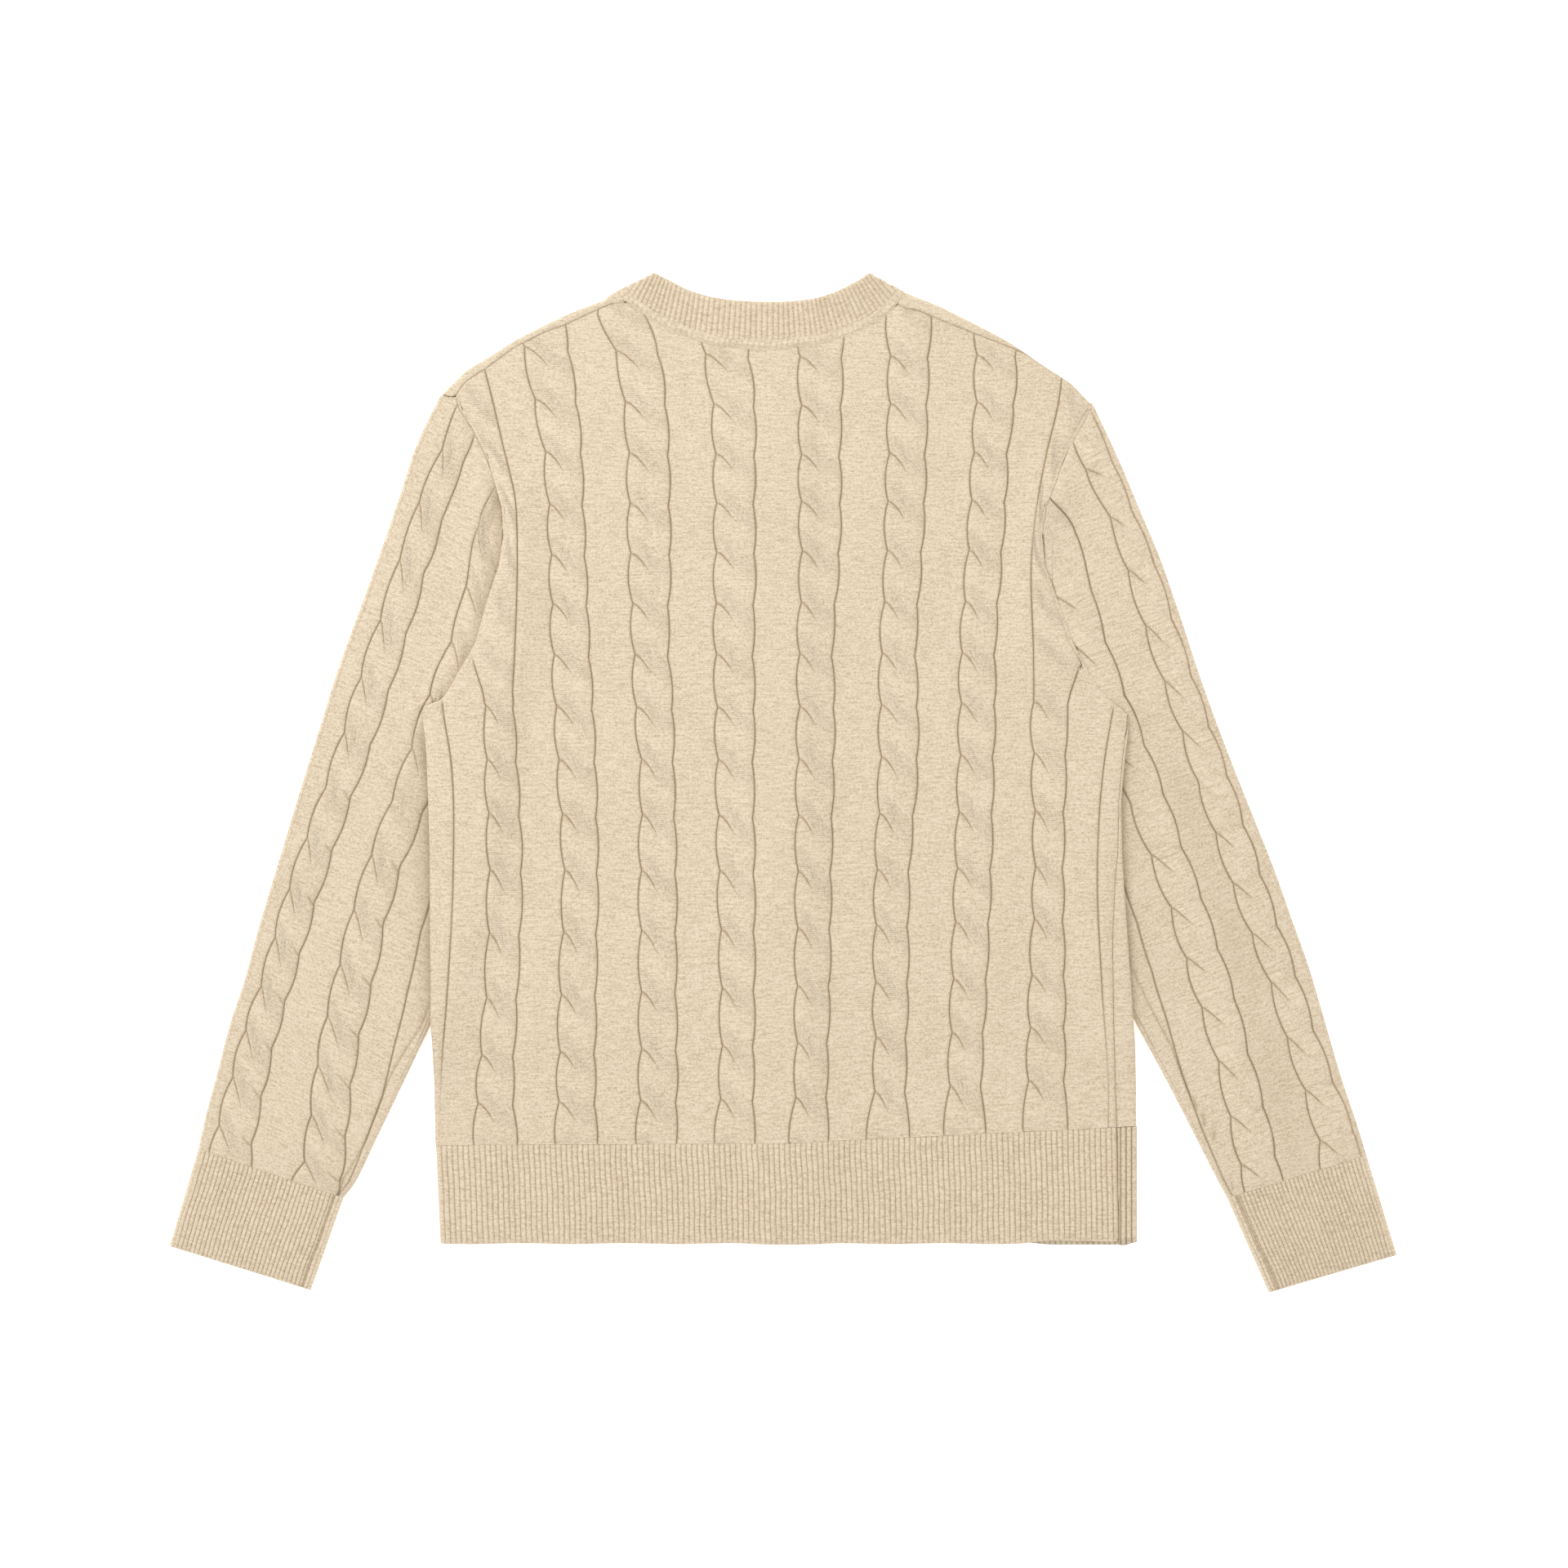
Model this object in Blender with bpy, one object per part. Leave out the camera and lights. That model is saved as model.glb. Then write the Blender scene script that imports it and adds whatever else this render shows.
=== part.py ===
"""Cable knit cardigan lying flat with its back up: every cut and sewn piece as a closed solid.

Metres, +Z up, the garment's front on the floor at z = 0. Plan tables are in the photograph's own
grid (x to the right, y down); GRID is the cloth's length of one step of it.
"""
import math
from functools import lru_cache

import bmesh
import bpy
import numpy as np
from mathutils.geometry import delaunay_2d_cdt

# Driving dimensions, in metres.
GRID = 0.00058
CENTRE = (958.5, 959.5)
WALL = 0.0022           # plain knit
BAND_WALL = 0.0017      # ribbed button bands
AIR = 0.0008            # air between two layers of the lying garment
SEAM = 0.0003           # between two sewn pieces
GROOVE = 0.0009         # purl column beside a cable, below the plain knit
CROWN = 0.0014          # top of a cable, above the plain knit
RIB_RISE = 0.0005       # rib ridge and valley, either side of the plain knit
SIDE_RISE = 0.0070      # body lifted by the sleeve lying under its side
PLACKET_RISE = 0.0039   # body lifted by buttons and bands under its middle
BUTTON_RADIUS = 0.0100
BUTTON_THICK = 0.0018
LOWER_BAND_Z = 0.0020
UPPER_BAND_Z = 0.0040
BACK_Z = WALL + AIR
MID_Z = (BACK_Z + WALL) / 2

# Cable shape: phases are counted in crossings, q runs -1..1 across a cable.
SKEW = 0.29             # how far a crossing travels down over half a cable
BULGE = 4.5             # the left groove swings out between crossings, in grid steps
WAVE = 2.5              # the right groove's swing
ROWS_PER_CROSSING = (0.0, 0.45, 0.87)
CABLE_Q = (0.0, 0.25, 0.5, 0.75)
PLAIN_S = (0.0, 0.13, 0.87)
HALVED = (1, 3, 7, 11, 15, 17)  # plain bands of the back with one more column, for the swells

# Body courses: crossing number, y in the middle, and how far the row drifts at the left and right.
COURSES = (
    (-1.0, 315, 0, 0),
    (0.0, 376, -8, -2),
    (1.0, 437, -14, -4),
    (2.0, 497, -10, -8),
    (3.0, 557, -5, -6),
    (4.0, 615, 3, -4),
    (5.0, 675, 5, -3),
    (6.0, 738, 2, -3),
    (7.0, 801, 1, -3),
    (8.0, 866, -1, -9),
    (9.0, 930, 0, -10),
    (10.0, 999, -3, -8),
    (11.0, 1067, -2, -7),
    (12.0, 1137, 6, -15),
    (13.0, 1208, 14, -18),
    (14.0, 1278, 14, -27),
    (15.0, 1345, 6, -30),
    (15.8, 1400, 2, -20),
    (16.8, 1465, 2, -20),
)

# Body grooves: name, then x at each of GROOVE_Y. L and R are a cable's left and right groove.
GROOVE_Y = (430, 490, 550, 610, 680, 800, 865, 930, 1065, 1210, 1345, 1400)
GROOVES = (
    ("0R", 540, 540, 540, 540, 540, 540, 546, 553, 556, 549, 539, 538),
    ("1L", 560, 560, 565, 570, 575, 578, 595, 598, 601, 597, 586, 583),
    ("1R", 588, 601, 617, 632, 633, 630, 628, 631, 637, 632, 627, 631),
    ("2L", 648, 657, 668, 673, 676, 679, 682, 685, 692, 688, 685, 683),
    ("2R", 696, 704, 710, 712, 715, 720, 724, 727, 730, 728, 727, 729),
    ("3L", 755, 766, 771, 772, 773, 778, 780, 786, 786, 786, 785, 782),
    ("3R", 804, 813, 817, 818, 819, 817, 822, 823, 826, 826, 827, 826),
    ("4L", 862, 874, 877, 878, 878, 878, 879, 880, 882, 885, 883, 878),
    ("4R", 914, 922, 923, 922, 923, 921, 922, 921, 922, 922, 921, 922),
    ("5L", 980, 982, 982, 982, 983, 980, 980, 979, 978, 977, 975, 969),
    ("5R", 1030, 1029, 1027, 1028, 1026, 1018, 1020, 1019, 1016, 1014, 1011, 1012),
    ("6L", 1091, 1091, 1090, 1088, 1087, 1081, 1080, 1080, 1075, 1073, 1071, 1063),
    ("6R", 1136, 1134, 1132, 1131, 1127, 1120, 1122, 1122, 1112, 1110, 1108, 1112),
    ("7L", 1197, 1197, 1194, 1191, 1187, 1179, 1178, 1177, 1173, 1168, 1163, 1158),
    ("7R", 1243, 1241, 1233, 1230, 1225, 1217, 1217, 1215, 1212, 1206, 1201, 1206),
    ("8L", 1302, 1298, 1285, 1271, 1262, 1265, 1268, 1267, 1269, 1264, 1259, 1255),
    ("8R", 1345, 1343, 1340, 1336, 1330, 1322, 1308, 1303, 1300, 1302, 1303, 1306),
    ("9L", 1400, 1400, 1400, 1400, 1390, 1375, 1366, 1353, 1343, 1349, 1358, 1357),
)

# Outline of the body: y, x of the left edge and of the right edge (armholes, then sides).
EDGES = (
    (485, 558, 1339), (500, 561.5, 1336), (518, 573.5, 1327), (529, 580, 1320.5), (545, 588, 1311),
    (564, 597, 1302), (593, 606, 1292), (621, 615, 1280.5), (657, 617, 1275.5), (693, 611, 1279),
    (736, 597, 1295), (786, 583, 1313), (803, 574, 1321.5), (821, 563, 1332), (841, 552, 1345.5),
    (857, 541, 1359), (865, 520, 1369), (878, 518, 1383), (900, 521, 1381), (925, 523, 1378),
    (980, 525, 1373), (1043, 527, 1374), (1080, 527, 1376), (1205, 528, 1385), (1254, 528, 1388),
    (1281, 530, 1390), (1308, 531, 1391), (1332, 532, 1392), (1356, 532, 1392), (1400, 533, 1393),
    (1460, 537, 1393), (1524, 539, 1393),
)
# Side seam that the front brings round onto the back at the right: y, x.
SIDE_SEAM = (
    (878, 1379), (900, 1377), (925, 1374), (980, 1369), (1043, 1368), (1080, 1364.5), (1151, 1361.5),
    (1254, 1363), (1380, 1368),
    (1524, 1371),
)
# Shoulder seams on the back: x, y. The right one runs into the folded outline.
LEFT_SHOULDER = (
    (558, 483), (569, 468), (595, 451), (630, 425), (668, 406), (691, 398), (734, 378), (752, 370.4),
    (757, 363),
)
RIGHT_SHOULDER = (
    (1109, 360), (1110, 378), (1126, 380), (1155, 393), (1185, 405), (1239, 426), (1257, 434),
    (1288, 454), (1311, 469), (1338, 497),
)
# Folded shoulders of the fronts, on the outline: x, y.
LEFT_FOLD = (
    (541, 482.7), (554, 469), (572, 452), (599, 436), (630, 416), (661, 400), (699, 382), (739, 367),
    (752, 357),
)
RIGHT_FOLD = (
    (1110, 358), (1150, 374), (1196, 397), (1234, 417), (1257, 432), (1288, 454), (1311, 469),
    (1339, 498),
)
# Hidden fold of each sleeve under the body's side: y, x of the left fold and of the right fold.
TUCK = (
    (657, 619, 1273), (740, 628, 1265), (806, 621, 1273), (865, 604, 1295), (933, 592, 1310),
    (1000, 585, 1321), (1079, 576, 1333), (1151, 560, 1350), (1234, 539, 1374), (1330, 533, 1392),
)
# Sleeves: crossing number, outer edge x y, inner edge x y, then the fractions across of the
# grooves: outer cable left and right, inner cable left and right, last groove.
LEFT_SLEEVE = (
    (-0.8, 538, 485, 634, 525, 0.26, 0.52, 0.85, 0.90, 0.96),
    (0.0, 512, 538, 640, 592, 0.24, 0.45, 0.80, 0.88, 0.95),
    (1.0, 489, 606, 617, 657, 0.20, 0.45, 0.76, 0.86, 0.95),
    (2.0, 465, 676, 628, 741, 0.155, 0.44, 0.645, 0.90, 0.96),
    (3.0, 438, 751, 619, 806, 0.165, 0.435, 0.64, 0.89, 0.955),
    (4.0, 412, 822, 602, 870, 0.165, 0.41, 0.605, 0.83, 0.94),
    (5.0, 391, 890, 590, 937, 0.155, 0.385, 0.575, 0.79, 0.92),
    (6.0, 370, 957, 583, 1004, 0.145, 0.36, 0.533, 0.74, 0.90),
    (8.0, 332, 1082, 558, 1154, 0.11, 0.32, 0.455, 0.655, 0.81),
    (9.0, 315, 1139, 536, 1232, 0.105, 0.30, 0.467, 0.66, 0.86),
    (10.0, 299, 1199, 509, 1293, 0.10, 0.30, 0.495, 0.70, 0.88),
    (11.0, 281, 1253, 482, 1350, 0.105, 0.32, 0.54, 0.75, 0.92),
    (12.0, 266, 1311, 457, 1402, 0.105, 0.34, 0.61, 0.84, 0.95),
    (13.0, 250, 1371, 434, 1449, 0.105, 0.36, 0.68, 0.91, 0.965),
    (13.6, 242, 1407, 420, 1467, 0.10, 0.36, 0.70, 0.96, 0.98),
)
RIGHT_SLEEVE = (
    (-0.8, 1341, 499, 1262, 530, 0.10, 0.42, 0.85, 0.90, 0.96),
    (0.0, 1369, 559, 1254, 605, 0.07, 0.34, 0.80, 0.88, 0.95),
    (1.0, 1395, 621, 1276, 662, 0.08, 0.31, 0.64, 0.90, 0.96),
    (2.0, 1421, 683, 1268, 742, 0.06, 0.27, 0.58, 0.84, 0.94),
    (3.0, 1445, 752, 1275, 808, 0.06, 0.265, 0.575, 0.85, 0.945),
    (4.0, 1468, 822, 1297, 872, 0.06, 0.255, 0.54, 0.82, 0.94),
    (5.0, 1490, 884, 1312, 936, 0.055, 0.25, 0.52, 0.78, 0.92),
    (6.0, 1513, 944, 1323, 1001, 0.05, 0.24, 0.50, 0.74, 0.90),
    (8.0, 1560, 1062, 1350, 1145, 0.045, 0.24, 0.435, 0.635, 0.82),
    (9.0, 1582, 1124, 1368, 1206, 0.04, 0.24, 0.44, 0.65, 0.86),
    (10.0, 1604, 1186, 1396, 1262, 0.04, 0.24, 0.45, 0.66, 0.90),
    (11.0, 1624, 1254, 1428, 1322, 0.04, 0.25, 0.475, 0.69, 0.93),
    (12.0, 1643, 1319, 1460, 1384, 0.03, 0.25, 0.50, 0.75, 0.95),
    (13.0, 1664, 1382, 1487, 1437, 0.02, 0.27, 0.55, 0.83, 0.97),
    (13.6, 1674, 1415, 1503, 1467, 0.02, 0.29, 0.58, 0.87, 0.98),
)
# Cuffs: top outer, top inner, bottom outer, bottom inner corner.
LEFT_CUFF = ((242, 1407), (420, 1467), (207, 1526), (380, 1580))
RIGHT_CUFF = ((1674, 1415), (1503, 1467), (1711, 1537), (1554, 1583))
# Neckband: x, y on its seam and on its opening, from the left fold along the back to the right one.
NECK_BACK = (
    (752, 357, 800, 334), (765, 368, 816, 341), (786, 383, 833, 350), (808, 397, 852, 358),
    (832, 408, 870, 363), (856, 417, 888, 366), (884, 423, 905, 368), (907, 426, 921, 369),
    (930, 428, 936, 369), (953, 427, 952, 369), (976, 424, 967, 368), (999, 422, 984, 366),
    (1022, 416, 1003, 363), (1044, 408, 1020, 358), (1066, 398, 1038, 350), (1088, 383, 1053, 342),
    (1110, 358, 1068, 335),
)
# Neckband of the left front from its fold down to the button band; the right one mirrors it.
NECK_FRONT = (
    (752, 357, 800, 334), (753, 395, 801, 372), (758, 430, 806, 402), (770, 462, 815, 432),
    (792, 496, 832, 461), (825, 525, 852, 482), (862, 541, 878, 495), (910.2, 550, 908.6, 500),
)
BACK_TOP = LEFT_SHOULDER + tuple(row[:2] for row in NECK_BACK[1:-1]) + RIGHT_SHOULDER
BUTTON_ROWS = 6
HEM_RIBS = 125
CUFF_RIBS = 32
NECK_RIBS = 44
BAND_HALF = 26.0        # half width of the button bands, in grid steps

# Break lines that the plain faces of front and back share: steps across each swell, and rows.
SIDE_STEPS = (6, 18, 31, 44, 56)
SIDE_ROWS = (545, 564, 593, 621, 657, 740, 806, 865, 933, 1000, 1079, 1151, 1234, 1262, 1281, 1308,
             1332, 1356, 1385)
MIDDLE_STEPS = (28, 39, 50, 61, 72)
MIDDLE_ROWS = (440, 455, 470, 498, 590, 900, 1385)
RIB_STOPS = (1340, 1290, 1230, 1160, 1090, 1035.3, 1024.3, 1013.3, 1002.3, 991.3, 935.3, 924.3,
             913.3, 902.3, 891.3, 820, 740, 660, 590)

WOOL = (0.730, 0.610, 0.440, 1.0)
HORN = (0.420, 0.290, 0.170, 1.0)


def place(px, py):
    """Plan table units to metres."""
    return (px - CENTRE[0]) * GRID, (CENTRE[1] - py) * GRID


def ease(value):
    """Smooth step from 0 to 1."""
    held = np.clip(value, 0.0, 1.0)
    return held * held * (3.0 - 2.0 * held)


@lru_cache(maxsize=None)
def cells_of(rows, column):
    """First column of a table and one of the others."""
    cells = np.array([(row[0], row[column]) for row in rows], dtype=float)
    return cells[:, 0], cells[:, 1]


def table(rows, column, at):
    """Straight interpolation of a table whose first column is the position."""
    return np.interp(at, *cells_of(rows, column))


def curve(xs, ys, at):
    """Cubic through the given points, level beyond its ends."""
    xs = np.asarray(xs, dtype=float)
    ys = np.asarray(ys, dtype=float)
    slope = np.gradient(ys, xs)
    held = np.clip(at, xs[0], xs[-1])
    cell = np.clip(np.searchsorted(xs, held, side="right") - 1, 0, len(xs) - 2)
    width = xs[cell + 1] - xs[cell]
    t = (held - xs[cell]) / width
    start = (1 + 2 * t) * (1 - t) ** 2 * ys[cell] + t * (1 - t) ** 2 * width * slope[cell]
    end = t * t * (3 - 2 * t) * ys[cell + 1] - t * t * (1 - t) * width * slope[cell + 1]
    return start + end


def course_y(crossing, px):
    """Y of a body course at an x of the plan."""
    middle = table(COURSES, 1, crossing)
    left = table(COURSES, 2, crossing) * np.clip((958.0 - px) / 358.0, 0.0, 1.3)
    right = table(COURSES, 3, crossing) * np.clip((px - 958.0) / 420.0, 0.0, 1.1)
    return middle + left + right


def axis_x(py):
    """Middle of the body, where the hidden fronts meet; it leans a little."""
    return 931.0 + 0.031 * (py - 357.0)


def side_rise(px, py):
    """Lift of the body over the sleeves lying under its sides."""
    head = ease((py - 545.0) / 95.0) * (1.0 - ease((py - 1262.0) / 100.0))
    left = 1.0 - ease((px - table(TUCK, 1, py) - 6.0) / 50.0)
    right = 1.0 - ease((table(TUCK, 2, py) - 6.0 - px) / 50.0)
    return SIDE_RISE * head * np.maximum(left, right)


def placket_lift(px, py, top_from=500.0):
    """Share of the lift over buttons and bands, 1 on the bands and 0 beside them."""
    across = 1.0 - ease((np.abs(px - axis_x(py)) - BAND_HALF - 2.0) / 44.0)
    return across * ease((py - top_from + 62.0) / 60.0)


def side_seam(py):
    """X of the back's right edge below the armhole."""
    return table(SIDE_SEAM, 1, py)


def back_floor(px, py):
    """Underside of the back's layer."""
    edge = np.minimum(px - table(EDGES, 1, py), side_seam(np.maximum(py, 880.0)) - px)
    roll = np.where(py > 870.0, 1.0 - ease(edge / 7.0), 0.0)
    return BACK_Z + side_rise(px, py) + PLACKET_RISE * placket_lift(px, py) - 0.0005 * roll


def front_floor(px, py):
    """Underside of the front's layer; the left front carries the upper band."""
    lift = np.where(px < axis_x(py), PLACKET_RISE, LOWER_BAND_Z)
    return side_rise(px, py) + lift * placket_lift(px, py)


def rope(q, crossing):
    """Height of a cable from 0 in its grooves to 1 on its crown."""
    crown = np.clip(1.0 - np.abs(q) ** 2.6, 0.0, 1.0) ** 0.6
    lag = crossing - SKEW * (q + 1.0)
    away = lag - np.round(lag)
    notch = np.where(away < 0.0, np.exp(-(away / 0.05) ** 2), np.exp(-away / 0.16))
    return crown * (1.0 + 0.06 * (away < 0.0) - 0.85 * notch * (1.0 - ease((q + 0.35) / 0.9)))


def knit_columns(kinds, halved=()):
    """(band, share across it, kind) of every grid column between the grooves of a piece."""
    columns = []
    for band, kind in enumerate(kinds):
        shares = {"cable": CABLE_Q, "plain": PLAIN_S}.get(kind, (0.0, 0.5))
        shares = sorted(shares + (0.5,)) if band in halved else shares
        columns += [(band, share, kind) for share in shares]
    return columns + [(len(kinds) - 1, 1.0, kinds[-1])]


def column_skew(share, kind, first, last):
    """How many crossings a grid row has travelled down at this column."""
    if kind == "cable":
        return 2.0 * SKEW * share
    if first or last:
        return 2.0 * SKEW * (1.0 - share) * (not first)
    return 2.0 * SKEW * (1.0 - share)


def relief(share, kind, crossing, squeeze):
    """Height of the knit above its plain face."""
    if kind == "cable":
        height = -GROOVE + (GROOVE + CROWN) * rope(2.0 * share - 1.0, crossing)
    else:
        side = {"plain": min(share, 1.0 - share), "right": share}.get(kind, 1.0)
        height = -GROOVE * (1.0 - float(ease(side / 0.12)))
    return height * squeeze


def grid_back():
    """Outer points of the back: rows down the garment, columns along its wales."""
    kinds = ["left", "plain"] + ["cable", "plain"] * 8 + ["right"]
    columns = knit_columns(kinds, HALVED)
    starts = [step + part for step in range(-1, 16) for part in ROWS_PER_CROSSING]
    starts = [value for value in starts if -0.4 < value < 15.75] + [15.8]
    count = len(starts)
    grid = np.zeros((count, len(columns), 3))
    for row, crossing in enumerate(starts):
        for col, (band, share, kind) in enumerate(columns):
            skew = column_skew(share, kind, band == 0, band == len(kinds) - 1)
            lag = crossing + skew
            px = 958.0
            for _ in range(6):
                py = float(course_y(lag, px))
                low = float(course_y(15.8, px)) - 0.6 - 0.9 * (count - 1 - row)
                high = float(table(BACK_TOP, 1, px)) + 1.0 + 0.9 * row
                py = max(min(py, low), high)
                lines, free = body_lines(py, crossing_at(px, py))
                px = lines[band] + (lines[band + 1] - lines[band]) * share
            beside = band if kind == "cable" else band + (1 if share > 0.5 else -1)
            squeeze = free[max(0, min(beside, len(kinds) - 1))]
            squeeze *= float(ease((py - table(BACK_TOP, 1, px)) / 9.0)) * 0.75 + 0.25
            height = WALL + relief(share, kind, crossing_at(px, py), squeeze)
            edge = min(px - lines[0], lines[-1] - px)
            height -= 0.0009 * (1.0 - float(ease(edge / 5.0)))
            grid[row, col] = (*place(px, py), float(back_floor(px, py)) + height)
    return grid


def crossing_at(px, py):
    """Crossing number of a point of the body."""
    numbers = cells_of(COURSES, 1)[0]
    return float(np.interp(py, course_y(numbers, px), numbers))


@lru_cache(maxsize=None)
def groove_line(row):
    """A groove's x at every step of y, smoothed through its table row."""
    levels = np.arange(330.0, 1500.0, 2.0)
    return levels, curve(GROOVE_Y, row[1:], levels)


def body_lines(py, crossing):
    """X of the body's edges and grooves at a height, and how free each band is of squeezing."""
    left = float(table(EDGES, 1, py)) + 0.3
    right = float(table(EDGES, 2, py)) - 0.3
    if py > 878.0:
        right = min(right, float(side_seam(py)) - 0.3)
    lines = [left]
    for row in GROOVES:
        at = float(np.interp(py, *groove_line(row)))
        phase = crossing % 1.0
        if row[0].endswith("L") and row[0] != "9L":
            at -= BULGE * math.sin(math.pi * phase) ** 0.8
        elif row[0] != "0R" and row[0] != "9L":
            at += WAVE * math.sin(math.pi * ((phase - 0.12) % 1.0))
        lines.append(at)
    lines.append(right)
    held = list(lines)
    for index in range(1, len(lines) - 1):
        held[index] = max(held[index], left + 2.0 * index, held[index - 1] + 1.2)
    for index in range(len(lines) - 2, 0, -1):
        held[index] = min(held[index], right - 2.0 * (len(lines) - 1 - index), held[index + 1] - 1.2)
    free = []
    for index in range(len(lines) - 1):
        width = held[index + 1] - held[index]
        free.append(float(ease((width - 8.0) / 22.0)) if 0 < index < len(lines) - 2 else 1.0)
    return held, free


def simplify(points, keep, tolerance):
    """Indexes of a closed loop that keep its shape within a tolerance."""
    chosen = set(keep)
    stack = list(zip(keep, keep[1:] + [keep[0] + len(points)]))
    while stack:
        start, end = stack.pop()
        if end - start < 2:
            continue
        first = points[start % len(points)]
        last = points[end % len(points)]
        chord = last - first
        length = float(np.linalg.norm(chord)) or 1.0
        far, where = 0.0, None
        for index in range(start + 1, end):
            step = points[index % len(points)] - first
            off = float(np.linalg.norm(np.cross(chord, step))) / length
            if off > far:
                far, where = off, index
        if far > tolerance:
            chosen.add(where % len(points))
            stack += [(start, where), (where, end)]
    return sorted(chosen)


def lace(bm, first, second):
    """Triangles between two lines of (position, vertex) that need not match in number."""
    i = j = 0
    while i < len(first) - 1 or j < len(second) - 1:
        ahead = i < len(first) - 1
        if ahead and j < len(second) - 1:
            ahead = first[i + 1][0] <= second[j + 1][0]
        if ahead:
            bm.faces.new((first[i][1], first[i + 1][1], second[j][1]))
            i += 1
        else:
            bm.faces.new((first[i][1], second[j + 1][1], second[j][1]))
            j += 1


def skin(bm, grid):
    """Vertices and quads of a grid of points."""
    rows, cols = grid.shape[:2]
    verts = [[bm.verts.new(grid[i, j]) for j in range(cols)] for i in range(rows)]
    for i in range(rows - 1):
        for j in range(cols - 1):
            bm.faces.new((verts[i][j], verts[i][j + 1], verts[i + 1][j + 1], verts[i + 1][j]))
    return verts


def finish(bm, name, colour, roughness=0.95):
    """Close a piece's mesh into an object of its own collection and material."""
    bmesh.ops.triangulate(bm, faces=bm.faces[:], quad_method="SHORT_EDGE")
    bmesh.ops.recalc_face_normals(bm, faces=bm.faces[:])
    mesh = bpy.data.meshes.new(name)
    bm.to_mesh(mesh)
    bm.free()
    piece = bpy.data.objects.new(name, mesh)
    collection = bpy.data.collections.new(name)
    bpy.context.scene.collection.children.link(collection)
    collection.objects.link(piece)
    material = bpy.data.materials.new(name)
    material.use_nodes = True
    shader = material.node_tree.nodes["Principled BSDF"]
    shader.inputs["Base Color"].default_value = colour
    shader.inputs["Roughness"].default_value = roughness
    mesh.materials.append(material)
    return piece


def constraints(start, lines):
    """Edges along lines whose points follow one another from a start index."""
    edges = []
    for line in lines:
        edges += [(start + k, start + k + 1) for k in range(len(line) - 1)]
        start += len(line)
    return edges


def shell(name, grid, floor, lines, colour=WOOL, tolerance=0.00008):
    """Wall between a grid of upper points and a coarser floor under the same outline."""
    bm = bmesh.new()
    verts = skin(bm, grid)
    rows, cols = grid.shape[:2]
    loop = [(0, j) for j in range(cols)] + [(i, cols - 1) for i in range(1, rows)]
    loop += [(rows - 1, j) for j in range(cols - 2, -1, -1)] + [(i, 0) for i in range(rows - 2, 0, -1)]
    points = np.array([(*grid[i, j, :2], floor(*grid[i, j, :2])) for i, j in loop])
    corners = [0, cols - 1, cols + rows - 2, 2 * cols + rows - 3]
    chosen = simplify(points, corners, tolerance)
    plan = [tuple(points[index][:2]) for index in chosen]
    plan += [place(*point) for line in lines for point in line]
    edges = [(k, (k + 1) % len(chosen)) for k in range(len(chosen))]
    edges += constraints(len(chosen), lines)
    flat, _, faces, origins, _, _ = delaunay_2d_cdt(plan, edges, [], 1, 1e-7)
    below = [bm.verts.new((point[0], point[1], floor(*point))) for point in flat]
    for face in faces:
        bm.faces.new([below[index] for index in face])
    at = {origin: below[index] for index, found in enumerate(origins) for origin in found}
    upper = [(k, verts[i][j]) for k, (i, j) in enumerate(loop)] + [(len(loop), verts[0][0])]
    lower = [(index, at[k]) for k, index in enumerate(chosen)] + [(len(loop), at[0])]
    lace(bm, upper, lower)
    return finish(bm, name, colour)


def metre_floor(function):
    """The same floor height asked in metres."""
    def asked(x, y):
        return float(function(x / GRID + CENTRE[0], CENTRE[1] - y / GRID))
    return asked


def swell_lines(inside):
    """Lines that carry the swells over sleeves and placket into a plain face, in plan units."""
    lines = []
    for step in SIDE_STEPS:
        lines.append([(float(table(TUCK, 1, py)) + step, py) for py in SIDE_ROWS])
        lines.append([(float(table(TUCK, 2, py)) - step, py) for py in SIDE_ROWS])
    for step in MIDDLE_STEPS:
        lines.append([(float(axis_x(py)) - step, py) for py in MIDDLE_ROWS])
        lines.append([(float(axis_x(py)) + step, py) for py in MIDDLE_ROWS])
    kept = []
    for line in lines:
        run = []
        for point in line:
            if inside(*point):
                run.append(point)
            elif run:
                kept.append(run)
                run = []
        kept.append(run)
    return [run for run in kept if run]


def in_back(px, py):
    """Whether a plan point lies well inside the back."""
    return (float(table(EDGES, 1, py)) + 4.0 < px < side_seam(py) - 4.0
            and float(table(BACK_TOP, 1, px)) + 8.0 < py < float(course_y(15.8, px)) - 8.0)


def build_back():
    """Back panel with eight cables."""
    shell("back", grid_back(), metre_floor(back_floor), swell_lines(in_back))


def rib_grid(top_left, top_right, foot_left, foot_right, ribs, floor, top=None, foot=None):
    """Two rows of ridges and valleys between two edges."""
    steps = 2 * ribs
    grid = np.zeros((2, steps + 1, 3))
    for step in range(steps + 1):
        share = step / steps
        ridge = RIB_RISE * (1.0 if step % 2 else -1.0)
        for row, (start, end, line) in enumerate(((top_left, top_right, top),
                                                  (foot_left, foot_right, foot))):
            px = start[0] + (end[0] - start[0]) * share
            py = start[1] + (end[1] - start[1]) * share
            if line is not None:
                py = float(line(px))
            grid[row, step] = (*place(px, py), float(floor(px, py)) + WALL + ridge)
    return grid


def build_hem_back():
    """Ribbed hem of the back."""
    def top(px):
        return course_y(15.8, px) + 0.3

    def foot(px):
        return 1521.0 + 4.0 * ease((px - 1200.0) / 180.0)

    grid = rib_grid((533.5, 0), (1367.9, 0), (539.0, 0), (1370.6, 0), HEM_RIBS, back_floor, top, foot)
    shell("hem_back", grid, metre_floor(back_floor), [[(px, 1462.0)] for px in RIB_STOPS])


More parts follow.
